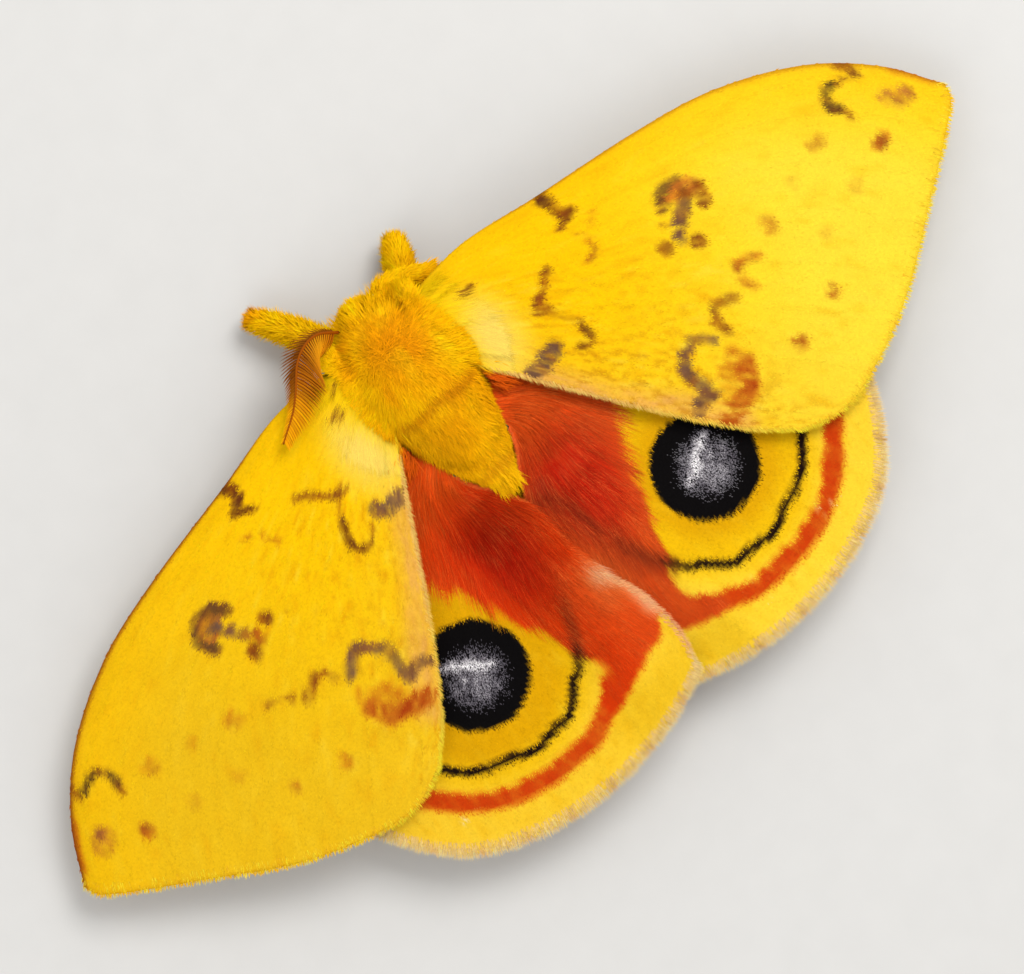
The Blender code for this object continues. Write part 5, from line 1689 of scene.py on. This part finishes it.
# %% Claws
claw_paths = []
for joints in LEG_JOINTS.values():
    toe, heel = np.array(joints[-1], float), np.array(joints[-2], float)
    ahead = unit(toe - heel)
    side_way = np.array([-ahead[1], ahead[0], 0.0])
    for hand in (-1, 1):
        root = toe + (0, 0, FOOT + 0.02) + side_way * hand * 0.08
        u = np.linspace(0, 1, 6)[:, None]
        path = root + ahead * 0.3 * u + side_way * hand * 0.12 * u
        claw_paths.append(path + UPRIGHT * (0.16 * np.sin(np.pi * u * 0.9) - 0.2 * u * u))
count = len(claw_paths)
claw_bake = np.stack([np.linspace(0.1, 0.9, count), np.full(count, 0.5)], -1)
claw_colours = plain((120, 66, 22), count)
claws = hair_coat("claws", np.array(claw_paths), np.tile(UPRIGHT, (count, 1)), 0.13, claw_colours, claw_bake)
keep(claws, "leg_coat", "claw")


# %% [markdown]
# ## Finishes
# Every finish reads the Tint of its mesh and breaks it up with fine noise. A small class makes
# shader maths read like plain sums: it wraps a socket, and +, - and * add a Math node each.

# %% Shader helpers
class Value:
    def __init__(self, nodes, socket):
        self.nodes, self.socket = nodes, socket

    def maths(self, operation, a, b):
        return self.nodes.add("ShaderNodeMath", {"operation": operation}, {0: a, 1: b}).out(0)

    def __add__(self, other):
        return self.maths("ADD", self, other)

    def __sub__(self, other):
        return self.maths("SUBTRACT", self, other)

    def __mul__(self, other):
        return self.maths("MULTIPLY", self, other)


class Finish:
    """A material and the one method that adds any node to it."""

    def __init__(self, name):
        self.material = bpy.data.materials.new(name)
        self.material.use_nodes = True
        self.tree = self.material.node_tree
        self.tree.nodes.clear()
        self.node = None

    def add(self, kind, settings=None, inputs=None):
        node = self.tree.nodes.new(kind)
        for key, value in (settings or {}).items():
            if key == "stops":
                ramp = node.color_ramp.elements
                while len(ramp) < len(value):
                    ramp.new(0.5)
                for element, (place, colour) in zip(ramp, value):
                    element.position, element.color = place, (*colour, 1.0)
            else:
                setattr(node, key, value)
        for key, value in (inputs or {}).items():
            if isinstance(value, Value):
                self.tree.links.new(value.socket, node.inputs[key])
            else:
                node.inputs[key].default_value = value
        made = Finish.__new__(Finish)
        made.material, made.tree, made.node = self.material, self.tree, node
        return made

    def out(self, key):
        return Value(self, self.node.outputs[key])

    def noise(self, place, size, detail):
        """Noise from 0 to 1 in spots of about the given size in millimetres."""
        inputs = {"Vector": place, "Scale": PER_METRE / size, "Detail": detail}
        return self.add("ShaderNodeTexNoise", {}, inputs).out("Fac")

    def finish(self, inputs):
        surface = self.add("ShaderNodeBsdfPrincipled", {}, inputs).out("BSDF")
        self.add("ShaderNodeOutputMaterial", {}, {"Surface": surface})
        return self.material


# %% [markdown]
# Scales and hair are matt, and the fur has a faint bloom, which sheen gives. Noise at the size of a
# hair changes the colour and the roughness a little, and stretched noise gives a slight bump.

# %% Finishes of scale and hair
def velvet(
    name, grain, contrast, roughness, sheen, sheen_colour, bump,
    stretch=(1, 1, 1), specular=0.12, depth=1.0,
):
    made = Finish(name)
    place = made.add("ShaderNodeTexCoord").out("Object")
    place = made.add("ShaderNodeMapping", {}, {"Vector": place, "Scale": stretch}).out("Vector")
    fine = made.noise(place, grain, 3.0)
    broad = made.noise(place, grain * 14, 2.0)
    colour = made.add("ShaderNodeAttribute", {"attribute_name": "Tint"}).out("Color")
    shade = (fine - 0.5) * contrast + (broad - 0.5) * (contrast * 0.6) + depth
    grey = made.add("ShaderNodeCombineXYZ", {}, {0: shade, 1: shade, 2: shade}).out("Vector")
    colour = made.add("ShaderNodeVectorMath", {"operation": "MULTIPLY"}, {0: colour, 1: grey}).out("Vector")
    uneven = (fine - 0.5) * 0.3 + roughness
    height = made.add(
        "ShaderNodeBump", {}, {"Height": fine, "Strength": bump, "Distance": grain * 0.3 * MM}
    ).out("Normal")
    return made.finish(
        {
            "Base Color": colour,
            "Roughness": uneven,
            "Normal": height,
            "Sheen Weight": sheen,
            "Sheen Roughness": 0.5,
            "Sheen Tint": (*light_of(sheen_colour), 1.0),
            "Specular IOR Level": specular,
        }
    )


FINISHES = {
    "forewing sheet": velvet(
        "Yellow wing sheet", 0.16, 0.2, 0.8, 0.0, (255, 220, 80), 0.5, specular=0.05, depth=0.75
    ),
    "hindwing sheet": velvet(
        "Red and yellow wing sheet", 0.16, 0.2, 0.8, 0.0, (255, 210, 90), 0.5, specular=0.05, depth=0.77
    ),
    "forewing scales": velvet(
        "Yellow wing scales", 0.09, 0.07, 0.8, 0.0, (255, 220, 80), 0.2, specular=0.05, depth=0.75
    ),
    "hindwing scales": velvet(
        "Hindwing scales", 0.09, 0.12, 0.8, 0.0, (255, 200, 90), 0.2, specular=0.05, depth=0.77
    ),
    "silver dust": velvet("Silver scales", 0.05, 0.2, 0.4, 0.0, (255, 255, 255), 0.2, specular=0.5),
    "fringe": velvet("Wing fringe", 0.08, 0.12, 0.75, 0.0, (255, 230, 170), 0.2, specular=0.05, depth=0.95),
    "long hair": velvet(
        "Combed red hair", 0.07, 0.18, 0.7, 0.02, (255, 120, 40), 0.2, specular=0.06, depth=0.9
    ),
    "fur": velvet("Ochre fur", 0.08, 0.16, 0.75, 0.04, (255, 190, 40), 0.2, specular=0.05),
    "skin": velvet("Skin under the fur", 0.12, 0.5, 0.8, 0.05, (255, 200, 60), 0.8, (1, 0.35, 1)),
    "feeler": velvet("Feeler", 0.08, 0.3, 0.7, 0.0, (255, 200, 90), 0.4, specular=0.06, depth=0.9),
    "claw": velvet("Claw horn", 0.1, 0.4, 0.35, 0.0, (255, 255, 255), 0.3, specular=0.4),
}
print("finishes:", len(FINISHES))


# %% [markdown]
# The eye is smooth and dark brown with hundreds of facets. Voronoi cells give the facets their
# borders, as a shallow bump, and a faint change of colour from cell to cell.

# %% Eye finish
def eye_finish():
    made = Finish("Dark eye with facets")
    place = made.add("ShaderNodeTexCoord").out("Object")
    cells = {"Vector": place, "Scale": PER_METRE / 0.06}
    facets = made.add("ShaderNodeTexVoronoi", {}, cells).out("Distance")
    noise = made.noise(place, 0.5, 2.0)
    mixed = made.add(
        "ShaderNodeMix",
        {"data_type": "RGBA"},
        {"Factor": noise, "A": (0.012, 0.006, 0.004, 1), "B": (0.05, 0.025, 0.012, 1)},
    ).out("Result")
    height = made.add(
        "ShaderNodeBump", {"invert": True}, {"Height": facets, "Strength": 0.35, "Distance": 0.02 * MM}
    ).out("Normal")
    return made.finish(
        {
            "Base Color": mixed,
            "Roughness": facets * 0.15 + 0.2,
            "Normal": height,
            "Specular IOR Level": 0.35,
            "Coat Weight": 0.1,
        }
    )


FINISHES["eye"] = eye_finish()

# %% [markdown]
# ## Put it together
# Each piece gets its finish and rides on the animal's one body, and the solids that it stands
# for are hidden.

# %% Dress the pieces and hide their solids
for made, slot_name, finish_name, nodes in PIECES:
    made.data.materials.clear()
    made.data.materials.append(FINISHES[finish_name])
    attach(made, ROOT_BODY)
    if nodes:
        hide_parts(*nodes)
total = sum(len(p.vertices) - 2 for made, *_ in PIECES for p in made.data.polygons)
print("pieces:", len(PIECES), "triangles:", total)

# %% [markdown]
# ## Floor, light and camera
# A pale floor and soft light, as in a museum case. One wide lamp stands high at one side, a weaker
# one across from it, and the sky fills the shadows. The camera looks straight down, turned as in the photograph.

# %% Floor
FLOOR_WIDTH = 0.8
bpy.ops.object.select_all(action="DESELECT")
bpy.ops.mesh.primitive_plane_add(size=FLOOR_WIDTH, location=(0, 0, 0))
floor = bpy.context.active_object
floor.name = "floor"
floor_finish = Finish("Pale floor")
floor_place = floor_finish.add("ShaderNodeTexCoord").out("Object")
grain = floor_finish.noise(floor_place, 2.5, 4.0)
floor_colour = floor_finish.add(
    "ShaderNodeMix",
    {"data_type": "RGBA"},
    {"Factor": grain, "A": (0.54, 0.54, 0.54, 1), "B": (0.58, 0.58, 0.58, 1)},
).out("Result")
floor.data.materials.append(floor_finish.finish({"Base Color": floor_colour, "Roughness": grain * 0.2 + 0.6}))

# %% Light
scene = bpy.context.scene
scene.view_settings.view_transform = "Standard"
world = bpy.data.worlds.new("Soft studio")
world.use_nodes = True
world.node_tree.nodes["Background"].inputs["Color"].default_value = (1.0, 0.985, 0.955, 1)
world.node_tree.nodes["Background"].inputs["Strength"].default_value = 0.77
scene.world = world


def lamp(name, place, aim, size, watts, colour):
    bpy.ops.object.select_all(action="DESELECT")
    bpy.ops.object.light_add(type="AREA", location=place)
    made = bpy.context.active_object
    made.name = name
    made.data.size, made.data.energy, made.data.color = size, watts, colour
    way = np.array(aim) - np.array(place)
    flat = math.hypot(way[0], way[1])
    made.rotation_euler = (math.atan2(flat, -way[2]), 0, math.atan2(-way[0], way[1]))
    return made


lamp("key", (-0.19, -0.07, 0.3), (0, 0, 0), 0.18, 0.92, (1.0, 0.98, 0.94))
lamp("fill", (0.22, 0.1, 0.25), (0, 0, 0), 0.25, 0.25, (1.0, 0.98, 0.95))

# %% Camera
VIEW_MIDDLE = (0.000179, 0.000197, 0.005)
VIEW_WIDTH, VIEW_DISTANCE, SENSOR = 0.0614, 0.3, 36
VIEW_TURN = math.atan2(0.6756, -0.7373)  # the head points to the upper left, as in the photograph
camera_data = bpy.data.cameras.new("camera")
camera_data.sensor_width = SENSOR
camera_data.lens = SENSOR * VIEW_DISTANCE / VIEW_WIDTH
camera = bpy.data.objects.new("camera", camera_data)
scene.collection.objects.link(camera)
camera.location = (VIEW_MIDDLE[0], VIEW_MIDDLE[1], VIEW_MIDDLE[2] + VIEW_DISTANCE)
camera.rotation_euler = (0, 0, VIEW_TURN)
camera_data.clip_start = 0.01
scene.camera = camera
print("lens:", round(camera_data.lens, 1))
